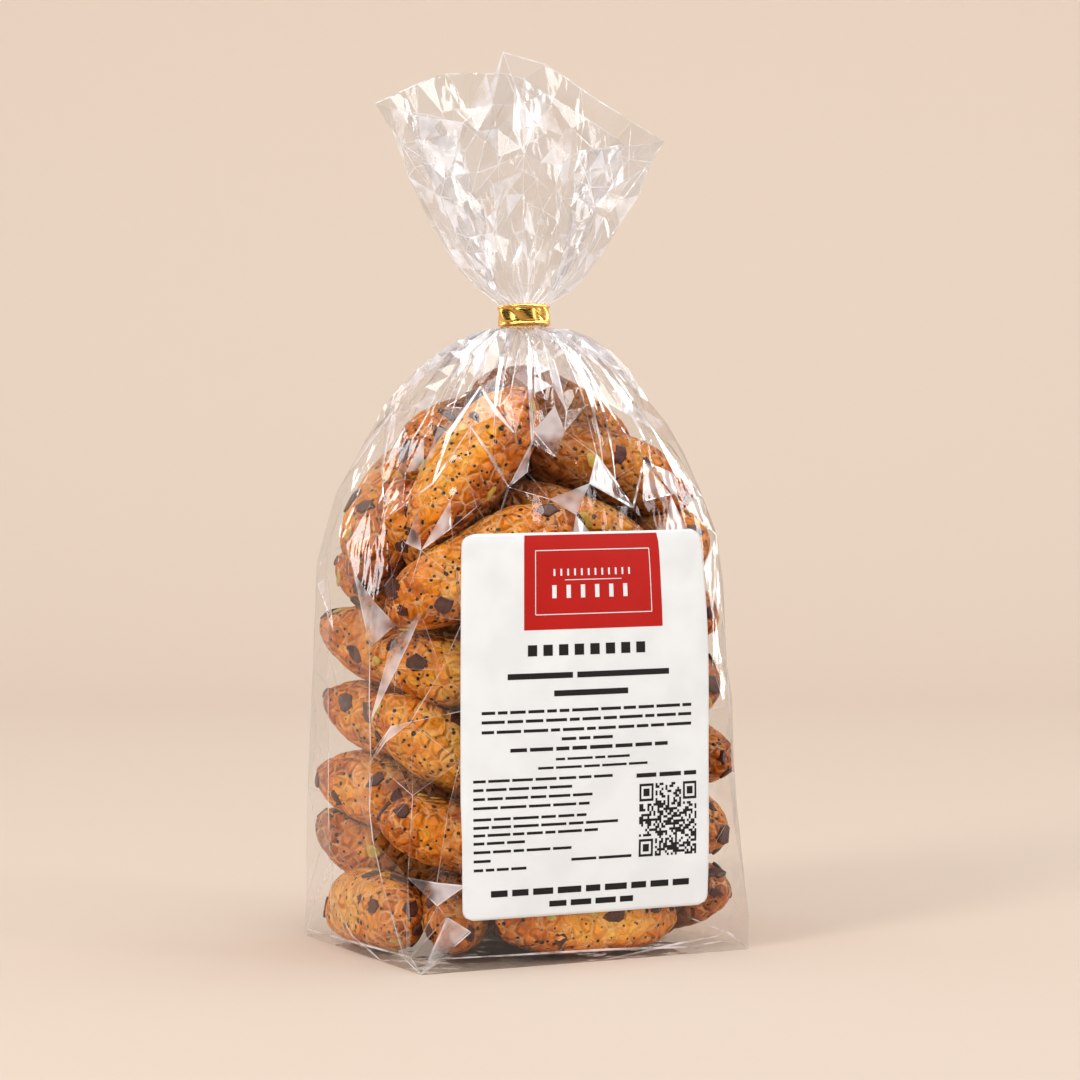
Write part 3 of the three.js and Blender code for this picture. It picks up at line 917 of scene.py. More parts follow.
def ruffle_surface(position, share):
    """Points of the ruffle for places round the base and shares of the way from the neck to the rim."""
    around = np.mod(position, PERIMETER)
    rim_x, rim_y, rim_height = (np.interp(around, RIM[:, 0], RIM[:, column]) for column in (1, 2, 3))
    flare = np.clip(share, 0, 1) ** FLARE_POWER
    neck_x, neck_y = ring_point(position, NECK_RADIUS)
    x = neck_x + (rim_x - neck_x) * flare
    y = neck_y + (rim_y - neck_y) * flare
    rise = np.where(share < 0, RUFFLE_TALL, rim_height)
    return np.stack([x, y, NECK_TOP_Z + share * rise], axis=-1)


def scatter(low, high, spacing_at, fixed, draw):
    """Points spread over the film, wrapped round it, no closer than the spacing there."""
    points = [np.array(point, float) for point in fixed]
    for _ in range(SCATTER_TRIES):
        spot = np.array([draw.uniform(SEAM, SEAM + PERIMETER), draw.uniform(low, high)])
        gap = np.abs(np.array(points) - spot)
        gap[:, 0] = np.minimum(gap[:, 0], PERIMETER - gap[:, 0])
        if np.hypot(gap[:, 0], gap[:, 1]).min() > spacing_at(spot):
            points.append(spot)
    return np.array(points)


def wrapped_triangles(points, dents, edges):
    """Triangles, through the given edges, of points on film that closes on itself.

    Where two edges cross, a point with no dent is added."""
    right = np.flatnonzero(points[:, 0] < SEAM + SEAM_MARGIN)
    left = np.flatnonzero(points[:, 0] > SEAM + PERIMETER - SEAM_MARGIN)
    spread = np.concatenate([points, points[right] + [PERIMETER, 0], points[left] - [PERIMETER, 0]])
    owner = np.concatenate([np.arange(len(points)), right, left])
    flat, _, faces, source, _, _ = delaunay_2d_cdt([Vector(point) for point in spread], edges, [], 0, 1e-6)
    crossings = [index for index, group in enumerate(source) if not group]
    points = np.concatenate([points, np.array([flat[index] for index in crossings]).reshape(-1, 2)])
    dents = np.concatenate([dents, np.zeros(len(crossings))])
    first = np.array([owner[group[0]] if group else -1 for group in source])
    first[crossings] = len(points) - len(crossings) + np.arange(len(crossings))
    faces = np.array(faces)
    middle = np.array([point[:] for point in flat])[faces].mean(axis=1)
    kept = (middle[:, 0] >= SEAM) & (middle[:, 0] < SEAM + PERIMETER)
    return points, dents, first[faces[kept]], middle[kept]


def inside(outline, spots):
    """Which of the spots lie inside an outline."""
    within = np.zeros(len(spots), dtype=bool)
    for (x1, y1), (x2, y2) in zip(outline, np.roll(outline, -1, axis=0)):
        crosses = (y1 > spots[:, 1]) != (y2 > spots[:, 1])
        rise = y2 - y1 if y2 != y1 else 1e-9
        within ^= crosses & (spots[:, 0] < x1 + (spots[:, 1] - y1) * (x2 - x1) / rise)
    return within


class Spots:
    """Fixed points of a film, each with its dent, and the edges that join them."""

    def __init__(self):
        self.points, self.dents, self.edges, self.index = [], [], [], {}

    def add(self, position, length, dent):
        key = (round(position, 3), round(length, 3))
        if key not in self.index:
            self.index[key] = len(self.points)
            self.points.append((position, length))
            self.dents.append(dent)
        return self.index[key]

    def line(self, spots, dent, closed=False):
        indices = [self.add(position, length, dent) for position, length in spots]
        self.edges += list(zip(indices, indices[1:]))
        if closed:
            self.edges.append((indices[-1], indices[0]))


def pleat_lines(spots, start, toward, depth_at, draw):
    """Folds that fan out from the tie, by turns outward and inward."""
    for pleat in range(PLEATS):
        position = SEAM + PERIMETER * (pleat + 0.5) / PLEATS
        side = 1 if pleat % 2 else -1
        levels = start + toward * np.arange(0, draw.uniform(*PLEAT_REACH), PLEAT_STEP)
        places = position + draw.uniform(-PLEAT_DRIFT, PLEAT_DRIFT) * np.abs(levels - start)
        line = list(zip(places, levels))
        for place, level in line:
            spots.add(place, level, side * depth_at(level) * draw.uniform(0.5, 1))
        spots.line(line, 0)


def body_pleat_depth(length):
    x, y = body_point(0, film_height(length))
    return min(PLEAT_DEPTH, PLEAT_LIMIT * float(np.hypot(x, y)))


def body_spots(draw):
    """The fixed points of the bag's film: its base edge, the outlines of its painted highlight facets, long
    folds and pleats.
    """
    spots = Spots()
    corners = (-BAG_DEPTH, 0, FRONT_RIGHT, BACK_RIGHT, BACK_LEFT)
    for start, end in zip(corners, corners[1:]):
        count = round((end - start) / BODY_SPACING)
        for step in range(count):
            spots.add(start + (end - start) * step / count, 0, 0)
    for outline in HIGHLIGHT_FACETS:
        spots.line(laid_flat(outline), CREASE_PROUD, closed=True)
    for crease in FILM_CREASES:
        spots.line(laid_flat(crease), CREASE_PROUD)
    pleat_lines(spots, FILM_LENGTH, -1, body_pleat_depth, draw)
    return spots


def body_spacing(spot):
    shoulder = film_length(SHOULDER_Z)
    return np.interp(spot[1], [0, BASE_ZONE, shoulder - SHOULDER_ZONE, shoulder, FILM_LENGTH],
                     [BASE_SPACING, BODY_SPACING, BODY_SPACING, SHOULDER_SPACING, NECK_SPACING])


def calmed(dent, position, z):
    """The dents, faded out at the base and never pushed out behind the label."""
    dent = dent * smooth_step(0, BASE_FADE, z)
    from_label = np.abs(position - BAG_WIDTH / 2 - LABEL_CENTRE_X) - LABEL_WIDTH / 2
    behind_label = (from_label < LABEL_MARGIN) & (z < LABEL_BOTTOM_Z + LABEL_HEIGHT + LABEL_MARGIN)
    return np.where(behind_label, np.minimum(dent, 0), dent)


def body_shades(middle, draw):
    """The material of each facet of the bag's film, with painted highlights on listed facets, on random
    ones above the shoulder and in streaks below the tie.
    """
    bright = np.zeros(len(middle), dtype=bool)
    for outline in HIGHLIGHT_FACETS:
        bright |= inside(laid_flat(outline), middle)
    bright |= (middle[:, 1] > film_length(SHOULDER_Z)) & (draw.random(len(middle)) < HIGHLIGHT_SHARE)
    sector = np.floor((middle[:, 0] - SEAM) / STREAK_WIDTH).astype(int)
    sectors = sector.max() + 1
    streak_start = FILM_LENGTH - draw.uniform(*STREAK_REACH, sectors)
    streaks = draw.random(sectors) < STREAK_SHARE
    bright |= streaks[sector] & (middle[:, 1] > streak_start[sector])
    gathered = middle[:, 1] > FILM_LENGTH - GATHERED_LENGTH * draw.uniform(*GATHERED_RANGE, len(middle))
    return np.where(bright, PAINTED_HIGHLIGHT, np.where(gathered, GATHERED, CLEAR))


def film_body(draw):
    """The creased film from the base up to the tie: points, triangles and the material of each."""
    spots = body_spots(draw)
    fixed = len(spots.points)
    flat = scatter(6, FILM_LENGTH - 3, body_spacing, spots.points, draw)
    dent = np.concatenate([spots.dents, draw.uniform(-DENT_IN, DENT_OUT, len(flat) - fixed)])
    flat, dent, faces, middle = wrapped_triangles(flat, dent, spots.edges)
    position, z = flat[:, 0], film_height(flat[:, 1])
    points = body_surface(position, z) + body_normals(position, z) * calmed(dent, position, z)[:, None]
    points[:, 2] = np.maximum(points[:, 2], 0)
    shade = body_shades(middle, draw)
    rim = np.flatnonzero(flat[:, 1] == 0)
    rim = rim[np.argsort(np.mod(flat[rim, 0], PERIMETER))]
    base = np.stack([rim, np.full(len(rim), len(points)), np.roll(rim, -1)], axis=-1)
    points = np.concatenate([points, [[0, 0, FLOOR_GAP / 2]]])
    return points, np.concatenate([faces, base]), np.concatenate([shade, np.full(len(base), CLEAR)])


def ruffle_pleat_depth(length):
    return min(PLEAT_DEPTH, 0.4 + 0.06 * max(length, 0))


def ruffle_spacing(spot):
    return np.interp(spot[1], [0, 12, RUFFLE_TALL], RUFFLE_SPACING)


def film_ruffle(draw):
    """The creased film from the tie up to the rim: points, triangles and the material of each."""
    spots = Spots()
    pleat_lines(spots, -NECK_LENGTH, 1, ruffle_pleat_depth, draw)
    for position in np.arange(SEAM, SEAM + PERIMETER - RIM_STEP / 2, RIM_STEP):
        dent = draw.uniform(-1, 1)
        spots.add(position, RUFFLE_TALL, dent)
        spots.add(position, RUFFLE_TALL - RIM_WIDTH, dent)
    fixed = len(spots.points)
    flat = scatter(3, RUFFLE_TALL - 4, ruffle_spacing, spots.points, draw)
    loose = draw.uniform(-RUFFLE_DENT, RUFFLE_DENT, len(flat) - fixed)
    loose *= smooth_step(0, 0.25, flat[fixed:, 1] / RUFFLE_TALL)
    flat, dent, faces, middle = wrapped_triangles(flat, np.concatenate([spots.dents, loose]), spots.edges)
    position, share = flat[:, 0], flat[:, 1] / RUFFLE_TALL
    normals = surface_normals(ruffle_surface, position, np.clip(share, 0.02, 0.99), 0.01)
    points = ruffle_surface(position, share) + normals * dent[:, None]
    # Random facets of the ruffle are painted highlights
    shade = np.where(draw.random(len(faces)) < HIGHLIGHT_SHARE, PAINTED_HIGHLIGHT, GATHERED)
    return points, faces, np.where(middle[:, 1] > RUFFLE_TALL - RIM_WIDTH, FOLDED, shade)


def edge_weights(points, faces, draw):
    """Every edge between two faces, with how sharply the film is folded there, 0 to 1."""
    normal = np.cross(points[faces[:, 1]] - points[faces[:, 0]], points[faces[:, 2]] - points[faces[:, 0]])
    normal /= np.maximum(np.linalg.norm(normal, axis=1, keepdims=True), 1e-9)
    sides = {}
    for index, face in enumerate(faces):
        for start, end in ((0, 1), (1, 2), (2, 0)):
            key = tuple(sorted((int(face[start]), int(face[end]))))
            sides.setdefault(key, []).append(index)
    weights = {}
    for key, owners in sides.items():
        if len(owners) == 2:
            fold = math.acos(float(np.clip(normal[owners[0]] @ normal[owners[1]], -1, 1)))
            weights[key] = min(1, fold / CREASE_FULL_ANGLE) * draw.uniform(0.2, 1)
    return weights


def film_piece(name, points, faces, material_of, draw):
    """A film mesh with flat facets, and a bevel that turns its folds into thin strips, whitened partly as
    stress whitening and partly as painted highlight.
    """
    weights = edge_weights(points, faces, draw)
    piece = build_mesh(name, points, faces, material_of=material_of, smooth=False)
    mesh = piece.data
    values = [weights.get(tuple(sorted(edge.vertices)), 0) for edge in mesh.edges]
    mesh.attributes.new("bevel_weight_edge", "FLOAT", "EDGE").data.foreach_set("value", values)
    bevel = piece.modifiers.new("creases", "BEVEL")
    bevel.limit_method = "WEIGHT"
    bevel.width = CREASE_WIDTH * MM
    bevel.segments = 1
    bevel.material = FOLDED
    bevel.use_clamp_overlap = True
    return piece


def strip(line, width, profile):
    """A strip along a fold of the film, its width following a profile of the way along it."""
    position, z = np.array(line, float).T
    normals = body_normals(position, z)
    corners = body_surface(position, z) + normals * (CREASE_PROUD * smooth_step(0, BASE_FADE, z))[:, None]
    at = np.arange(len(line))
    way = np.linspace(0, len(line) - 1, FOLD_STEPS * (len(line) - 1) + 1)
    middle = np.stack([np.interp(way, at, corners[:, axis]) for axis in range(3)], axis=-1)
    normal = np.stack([np.interp(way, at, normals[:, axis]) for axis in range(3)], axis=-1)
    across = np.cross(normal, np.gradient(middle, axis=0))
    across /= np.linalg.norm(across, axis=1, keepdims=True)
    half = across * (width / 2 * profile(way / way[-1]))[:, None]
    points = np.concatenate([middle - half, middle + half])
    points[:, 2] = np.maximum(points[:, 2], FLOOR_GAP)
    return points, grid_faces(2, len(way), closed=False)


def spindle(way):
    """A fold's width: widest at its middle."""
    return 0.3 + 0.7 * np.sin(math.pi * way)


def even(way):
    return 0 * way + 1


def comet(way):
    """A streak's width: widest near the tie, drawn out to its lower end."""
    return 0.5 + 0.5 * np.sin(math.pi * way ** 0.6) - 0.45 * way


def add_folds(draw):
    """The folds, whitened partly as stress whitening and partly as painted highlight, and painted highlight
    streaks, as thin strips in one mesh.
    """
    folds = Gathered()
    for crease in FILM_CREASES:
        folds.add(*strip(crease, FOLD_WIDTH, spindle))
    for outline in HIGHLIGHT_FACETS:
        folds.add(*strip([*outline, outline[0]], FACET_FOLD_WIDTH, even))
    way = np.linspace(0, 1, STREAK_POINTS)
    for _ in range(STREAK_LINES):
        start = draw.uniform(SEAM, SEAM + PERIMETER)
        levels = np.linspace(STREAK_TOP_Z, draw.uniform(*STREAK_LOW_Z), STREAK_POINTS)
        places = start + draw.uniform(-STREAK_DRIFT, STREAK_DRIFT) * way
        folds.add(*strip(np.column_stack([places, levels]), draw.uniform(*STREAK_SIZE), comet))
    return folds.build("film_folds")


def add_film():
    """The bag's film, the ruffle's film and the folds and streaks, whitened partly as painted highlight,
    with their materials.
    """
    draw = np.random.default_rng(11)
    body = film_piece("film_bag", *film_body(draw), draw)
    ruffle = film_piece("film_ruffle", *film_ruffle(draw), draw)
    folds = add_folds(draw)
    for look in FILM_LOOKS:
        material = film_material(*look)
        body.data.materials.append(material)
        ruffle.data.materials.append(material)
    folds.data.materials.append(film_material(*FOLD_WHITENING_AND_HIGHLIGHT))
    return body, ruffle, folds


# Materials
class Shade:
    """A material's node tree, with helpers that add nodes to it and take sizes in millimetres."""

    def __init__(self, name, base_color=(1, 1, 1), roughness=0.5, specular=0.5):
        self.material = bpy.data.materials.new(name)
        self.material.use_nodes = True
        self.tree = self.material.node_tree
        self.shader = self.tree.nodes["Principled BSDF"]
        self.shader.inputs["Base Color"].default_value = (*base_color, 1)
        self.shader.inputs["Roughness"].default_value = roughness
        self.shader.inputs["Specular IOR Level"].default_value = specular
        self.place = self.node("ShaderNodeTexCoord").outputs["Object"]

    def node(self, kind, **settings):
        node = self.tree.nodes.new(kind)
        for key, value in settings.items():
            setattr(node, key, value)
        return node

    def feed(self, socket, value):
        if isinstance(value, bpy.types.NodeSocket):
            self.tree.links.new(value, socket)
        else:
            socket.default_value = value

    def attribute(self, name):
        return self.node("ShaderNodeAttribute", attribute_name=name).outputs["Fac"]

    def noise(self, size, detail=2, roughness=0.5, stretch=None):
        """Noise between 0 and 1 with features of about the size given."""
        node = self.node("ShaderNodeTexNoise")
        node.inputs["Scale"].default_value = 1 / (size * MM)
        node.inputs["Detail"].default_value = detail
        node.inputs["Roughness"].default_value = roughness
        place = self.place
        if stretch:
            mapping = self.node("ShaderNodeMapping")
            mapping.inputs["Scale"].default_value = stretch
            self.feed(mapping.inputs["Vector"], place)
            place = mapping.outputs["Vector"]
        self.feed(node.inputs["Vector"], place)
        return node.outputs["Fac"]

    def warped(self, size, amount):
        """The coordinates, pushed about by noise of a size, by up to half the amount."""
        noise = self.node("ShaderNodeTexNoise")
        noise.inputs["Scale"].default_value = 1 / (size * MM)
        self.feed(noise.inputs["Vector"], self.place)
        centred = self.node("ShaderNodeVectorMath", operation="SUBTRACT")
        self.feed(centred.inputs[0], noise.outputs["Color"])
        centred.inputs[1].default_value = (0.5, 0.5, 0.5)
        push = self.node("ShaderNodeVectorMath", operation="MULTIPLY_ADD")
        self.feed(push.inputs[0], centred.outputs[0])
        push.inputs[1].default_value = (amount * MM,) * 3
        self.feed(push.inputs[2], self.place)
        return push.outputs[0]

    def cells(self, size, feature="F1", place=None):
        node = self.node("ShaderNodeTexVoronoi", feature=feature)
        node.inputs["Scale"].default_value = 1 / (size * MM)
        self.feed(node.inputs["Vector"], place or self.place)
        return node

    def math(self, operation, *values):
        node = self.node("ShaderNodeMath", operation=operation)
        for socket, value in zip(node.inputs, values):
            self.feed(socket, value)
        return node.outputs[0]

    def between(self, value, low, high, to_low=0.0, to_high=1.0):
        """Maps low..high smoothly to to_low..to_high."""
        node = self.node("ShaderNodeMapRange", interpolation_type="SMOOTHSTEP")
        for socket, given in zip(node.inputs[:5], (value, low, high, to_low, to_high)):
            self.feed(socket, given)
        return node.outputs[0]

    def ramp(self, value, stops):
        node = self.node("ShaderNodeValToRGB")
        elements = node.color_ramp.elements
        while len(elements) < len(stops):
            elements.new(0.5)
        for element, (position, color) in zip(elements, stops):
            element.position = position
            element.color = (*color, 1)
        self.feed(node.inputs[0], value)
        return node.outputs[0]

    def mix(self, share, first, second):
        node = self.node("ShaderNodeMix", data_type="RGBA")
        self.feed(node.inputs[0], share)
        for socket, color in ((node.inputs[6], first), (node.inputs[7], second)):
            self.feed(socket, color if isinstance(color, bpy.types.NodeSocket) else (*color, 1))
        return node.outputs[2]

    def bump(self, height, distance, strength=1.0, before=None):
        node = self.node("ShaderNodeBump")
        node.inputs["Strength"].default_value = strength
        node.inputs["Distance"].default_value = distance * MM
        self.feed(node.inputs["Height"], height)
        if before:
            self.feed(node.inputs["Normal"], before)
        return node.outputs["Normal"]

    def mix_shaders(self, share, first, second):
        node = self.node("ShaderNodeMixShader")
        for socket, value in zip(node.inputs, (share, first, second)):
            self.feed(socket, value)
        return node.outputs[0]

    def finish(self, **sockets):
        for name, value in sockets.items():
            self.feed(self.shader.inputs[name.replace("_", " ").title()], value)
        return self.material


def crust_material():
    """Baked crust: golden cobbles, paler cut faces and fine cracks, with painted shade in the cracks, in
    small pores and deep inside the bag, and painted highlights on rims along the cobbles and round the
    pores.
    """
    s = Shade("baked_crust", specular=0.2)
    patches = s.noise(13, 3, 0.55)
    mottle = s.noise(2.6, 3, 0.6)
    uneven = s.warped(4, 2.6)
    facet = s.cells(FACET_SIZE, place=uneven)
    shares = ((patches, 0.5), (mottle, 0.26), (facet.outputs["Color"], 0.22), (s.attribute("relief"), 0.12),
              (s.attribute("pale"), 0.3), (s.attribute("tone"), 0.18))
    baked = CRUST_PALENESS
    for value, weight in shares:
        baked = s.math("ADD", s.math("MULTIPLY", value, weight), baked)
    color = s.ramp(baked, CRUST_STOPS)
    gap = s.cells(FACET_SIZE, "DISTANCE_TO_EDGE", uneven).outputs["Distance"]
    # Painted shade: dark lines in the cracks between the cobbles
    crack = s.math("MULTIPLY", s.between(gap, 0.0, 0.06, 1, 0), s.between(s.noise(4, 2), 0.36, 0.55))
    # Painted highlight: pale rims along the cobbles' edges
    lit_rim = s.math("MULTIPLY", s.between(gap, 0.03, 0.1, 1, 0), s.between(s.noise(6, 2), 0.42, 0.58))
    color = s.mix(s.math("MULTIPLY", lit_rim, 0.6), color, RIM_HIGHLIGHT_COLOR)
    color = s.mix(s.math("MULTIPLY", crack, 0.4), color, GROOVE_AND_DEPTH_SHADE_COLOR)
    pit = s.cells(PORE_SPACING)
    size = s.math("MULTIPLY", pit.outputs["Color"], PORE_SHARE)
    hollow = s.math("SUBTRACT", pit.outputs["Distance"], size)
    # Painted highlight: a pale rim round each pore
    color = s.mix(s.between(hollow, 0.0, 0.12, 0.35, 0), color, RIM_HIGHLIGHT_COLOR)
    # Painted shade: each pore darkened
    color = s.mix(s.between(hollow, -0.05, 0.02, 0.95, 0), color, PORE_SHADE_COLOR)
    # Painted shade: crust deeper inside the bag is darkened
    color = s.mix(s.math("MULTIPLY", s.attribute("deep"), DEEP_SHADE), color, GROOVE_AND_DEPTH_SHADE_COLOR)
    normal = s.bump(s.noise(0.8, 2, 0.6), 0.12, 0.5)
    normal = s.bump(s.between(gap, 0.0, 0.34), 1.4, 1, normal)
    normal = s.bump(s.between(hollow, -0.1, 0.08), 0.7, 0.9, normal)
    s.shader.inputs["Subsurface Weight"].default_value = 0.04
    s.shader.inputs["Subsurface Radius"].default_value = (0.0016, 0.0008, 0.0003)
    return s.finish(base_color=color, roughness=s.between(mottle, 0.3, 0.7, 0.34, 0.52), normal=normal)


def chocolate_material():
    s = Shade("dark_chocolate", specular=0.16)
    cloud = s.noise(2.2, 3, 0.6)
    color = s.ramp(cloud, CHOCOLATE_STOPS)
    roughness = s.between(cloud, 0.3, 0.7, 0.3, 0.5)
    return s.finish(base_color=color, roughness=roughness, normal=s.bump(s.noise(1.1, 3), 0.25, 0.6))


def pistachio_material():
    s = Shade("pistachio_kernel", roughness=0.45, specular=0.14)
    grain = s.noise(1.2, 3, stretch=(1, 3, 1))
    color = s.ramp(s.noise(2.4, 3, 0.6), PISTACHIO_STOPS)
    return s.finish(base_color=color, normal=s.bump(grain, 0.3, 0.6))


def film_material(name, veil, sheen, clear_color):
    """Thin clear film: mostly see-through, with a glossy skin that grows towards grazing angles."""
    s = Shade(name)
    s.tree.nodes.remove(s.shader)
    clear = s.node("ShaderNodeBsdfTransparent")
    clear.inputs["Color"].default_value = (*clear_color, 1)
    milky = s.node("ShaderNodeAddShader")
    for socket, kind in zip(milky.inputs, ("ShaderNodeBsdfTranslucent", "ShaderNodeBsdfDiffuse")):
        half = s.node(kind)
        half.inputs["Color"].default_value = (*FILM_MILK, 1)
        s.feed(socket, half.outputs[0])
    gloss = s.node("ShaderNodeBsdfAnisotropic")
    gloss.inputs["Roughness"].default_value = FILM_ROUGHNESS
    s.feed(gloss.inputs["Normal"], s.bump(s.noise(9, 2, 0.5, stretch=(1, 1, 0.4)), 1.5, 0.7))
    facing = s.node("ShaderNodeLayerWeight")
    facing.inputs["Blend"].default_value = 0.5
    grazing = s.math("POWER", facing.outputs["Facing"], FILM_GRAZING_POWER)
    shine = s.math("MULTIPLY_ADD", grazing, 1 - sheen, sheen)
    cloud = s.between(s.noise(12, 2), 0.36, 0.64, VEIL_THIN * veil, min(1, VEIL_THICK * veil))
    body = s.mix_shaders(cloud, clear.outputs[0], milky.outputs[0])
    skin = s.mix_shaders(shine, body, gloss.outputs[0])
    s.feed(s.tree.nodes["Material Output"].inputs["Surface"], skin)
    return s.material


def gold_material():
    s = Shade("polished_gold", BAND_COLOR, 0.2)
    s.shader.inputs["Metallic"].default_value = 1
    wear = s.noise(1.4, 3, 0.6, stretch=(1, 1, 4))
    return s.finish(roughness=s.between(wear, 0.3, 0.7, 0.2, 0.34), normal=s.bump(wear, 0.05, 0.5))


def paper_material(name, color, roughness=0.4):
    """Coated label stock, or one field of print on it: a fine tooth and a faint unevenness of tone."""
    s = Shade(name, roughness=roughness, specular=0.12)
    darker = tuple(channel * 0.94 for channel in color)
    tint = s.mix(s.between(s.noise(16, 2), 0.35, 0.65), darker, color)
    return s.finish(base_color=tint, normal=s.bump(s.noise(0.35, 2, 0.6), 0.03, 0.35))


def sweep_material():
    """A pale sweep whose tone changes along the view's depth: darker towards the camera, as painted shade.
    """
    s = Shade("pale_sweep", roughness=0.85)
    depth = s.node("ShaderNodeVectorMath", operation="DOT_PRODUCT")
    s.feed(depth.inputs[0], s.place)
    depth.inputs[1].default_value = VIEW_FORWARD
    color = s.mix(s.between(depth.outputs["Value"], *SWEEP_FADE), SWEEP_NEAR, SWEEP_FAR)
    return s.finish(base_color=color, normal=s.bump(s.noise(3, 2), 0.05, 0.2))


# Gold band
def add_band():
    """A rolled strip of gold foil with two rounded lips and slanting leaves pressed into it."""
    share = np.linspace(-1, 1, BAND_ROWS)[:, None]
    angle = full_turn(BAND_COLUMNS)[None]
    lip = np.exp(-(((np.abs(share) - LIP_PLACE) / LIP_SPREAD) ** 2))
    between_lips = 1 - smooth_step(*LEAF_FADE, np.abs(share))
    slant = np.mod(angle * LEAF_COUNT / (2 * math.pi) + share * LEAF_SLANT + LEAF_START, 1)
    leaf = 1 - np.abs(2 * slant - 1) ** LEAF_ROUNDING
    radius = BAND_RADIUS + LIP_HEIGHT * lip + LEAF_HEIGHT * leaf * between_lips
    radius = radius - BAND_TUCK * smooth_step(TUCK_START, 1, np.abs(share))
    for size, count, start in BAND_WAVES:
        radius = radius + size * np.sin(count * angle + start)
    size, count, start = BAND_EDGE_WAVE
    height = BAND_HEIGHT / 2 * share * (1 + size * np.sin(count * angle + start))
    outer = np.stack([radius * np.cos(angle), radius * np.sin(angle), height], axis=-1)
    shrink = BAND_INNER_RADIUS / BAND_RADIUS
    inner = outer[::-1] * np.array([shrink, shrink, BAND_INNER_SHARE])
    rings = np.concatenate([outer, inner, outer[:1]])
    x, y, z = rings.reshape(-1, 3).T
    tilted_y = y * math.cos(BAND_TILT) - z * math.sin(BAND_TILT)
    tilted_z = y * math.sin(BAND_TILT) + z * math.cos(BAND_TILT)
    points = np.column_stack([x, tilted_y, tilted_z + BAND_MIDDLE_Z])
    return build_mesh("gold_band", points, grid_faces(len(rings), BAND_COLUMNS))


# Label
def label_surface(u, v, lift=0.0):
    """Points of the label for millimetres across and up it, raised off the film by lift."""
    u, v = np.broadcast_arrays(np.asarray(u, float), np.asarray(v, float))
    position, z = BAG_WIDTH / 2 + LABEL_CENTRE_X - LABEL_WIDTH / 2 + u, LABEL_BOTTOM_Z + v
    edge = smooth_step(WAVE_START, 1, u / LABEL_WIDTH)
    wave = LABEL_WAVE * edge * (0.5 + 0.5 * np.sin(2 * math.pi * (LABEL_WAVES * v / LABEL_HEIGHT + 0.1)))
    dent_u, dent_v, dent_size = LABEL_DENT
    off_u, off_v = (u - dent_u) / dent_size, (v - dent_v) / (0.8 * dent_size)
    dent = LABEL_DENT_DEPTH * np.exp(-(off_u ** 2 + off_v ** 2))
    ripple = LABEL_RIPPLE * np.sin(u / RIPPLE_WIDTH + 0.5) * np.sin(v / RIPPLE_HEIGHT + 1)
    raised = LABEL_GAP + wave + dent + ripple + lift
    return body_surface(position, z) + surface_normals(body_surface, position, z) * raised[..., None]


def label_sheet():
    """Points and faces of the label's front and back, with rounded corners."""
    rows, columns = LABEL_ROWS, LABEL_COLUMNS
    v_share, u_share = np.meshgrid(np.linspace(0, 1, rows), np.linspace(0, 1, columns), indexing="ij")
    v = v_share * LABEL_HEIGHT
    short = np.clip(LABEL_CORNER - np.minimum(v, LABEL_HEIGHT - v), 0, LABEL_CORNER)
    inset = LABEL_CORNER - np.sqrt(LABEL_CORNER ** 2 - short ** 2)
    u = inset + u_share * (LABEL_WIDTH - 2 * inset)
    front = label_surface(u, v, LABEL_THICKNESS).reshape(-1, 3)
    back = label_surface(u, v).reshape(-1, 3)
    quads = grid_faces(rows, columns, closed=False)
    count = rows * columns
    rim = np.concatenate([np.arange(columns), np.arange(1, rows) * columns + columns - 1,
                          (rows - 1) * columns + np.arange(columns - 2, -1, -1),
                          np.arange(rows - 2, 0, -1) * columns])
    ahead = np.roll(rim, -1)
    edge = np.stack([rim, rim + count, ahead + count, ahead], axis=-1)
    return np.concatenate([front, back]), np.concatenate([quads, quads[:, ::-1] + count, edge])


class Print:
    """Flat printed shapes laid on the label, each a small grid that follows its curve."""

    def __init__(self, lift=PRINT_LIFT):
        self.shapes = Gathered()
        self.height = LABEL_THICKNESS + lift

    def bar(self, u_low, u_high, v_low, v_high):
        columns = max(2, math.ceil((u_high - u_low) / PRINT_STEP) + 1)
        rows = max(2, math.ceil((v_high - v_low) / PRINT_STEP) + 1)
        up, across = np.linspace(v_low, v_high, rows), np.linspace(u_low, u_high, columns)
        v, u = np.meshgrid(up, across, indexing="ij")
        points = label_surface(u, v, self.height).reshape(-1, 3)
        self.shapes.add(points, grid_faces(rows, columns, closed=False))

    def words(self, u_low, u_high, v, height, draw, shortest, longest):
        """A row of bars as long as words, which fills the line from end to end."""
        gap = 0.6 * height + 0.35
        u = u_low
        while u < u_high - 0.5:
            end = u + draw.uniform(shortest, longest)
            if u_high - end < shortest + gap:
                end = u_high
            self.bar(u, end, v - height / 2, v + height / 2)
            u = end + gap

    def blocks(self, u_low, u_high, v, height, count, filled):
        """Evenly spaced upright blocks, the scale of a heading's letters."""
        pitch = (u_high - u_low) / count
        for index in range(count):
            u = u_low + index * pitch
            self.bar(u, u + filled * pitch, v - height / 2, v + height / 2)

    def frame(self, u_low, u_high, v_low, v_high, line):
        for v in (v_low, v_high):
            self.bar(u_low, u_high, v - line / 2, v + line / 2)
        for u in (u_low, u_high):
            self.bar(u - line / 2, u + line / 2, v_low, v_high)

    def build(self, name, material, slot):
        dress(self.shapes.build(name), material)


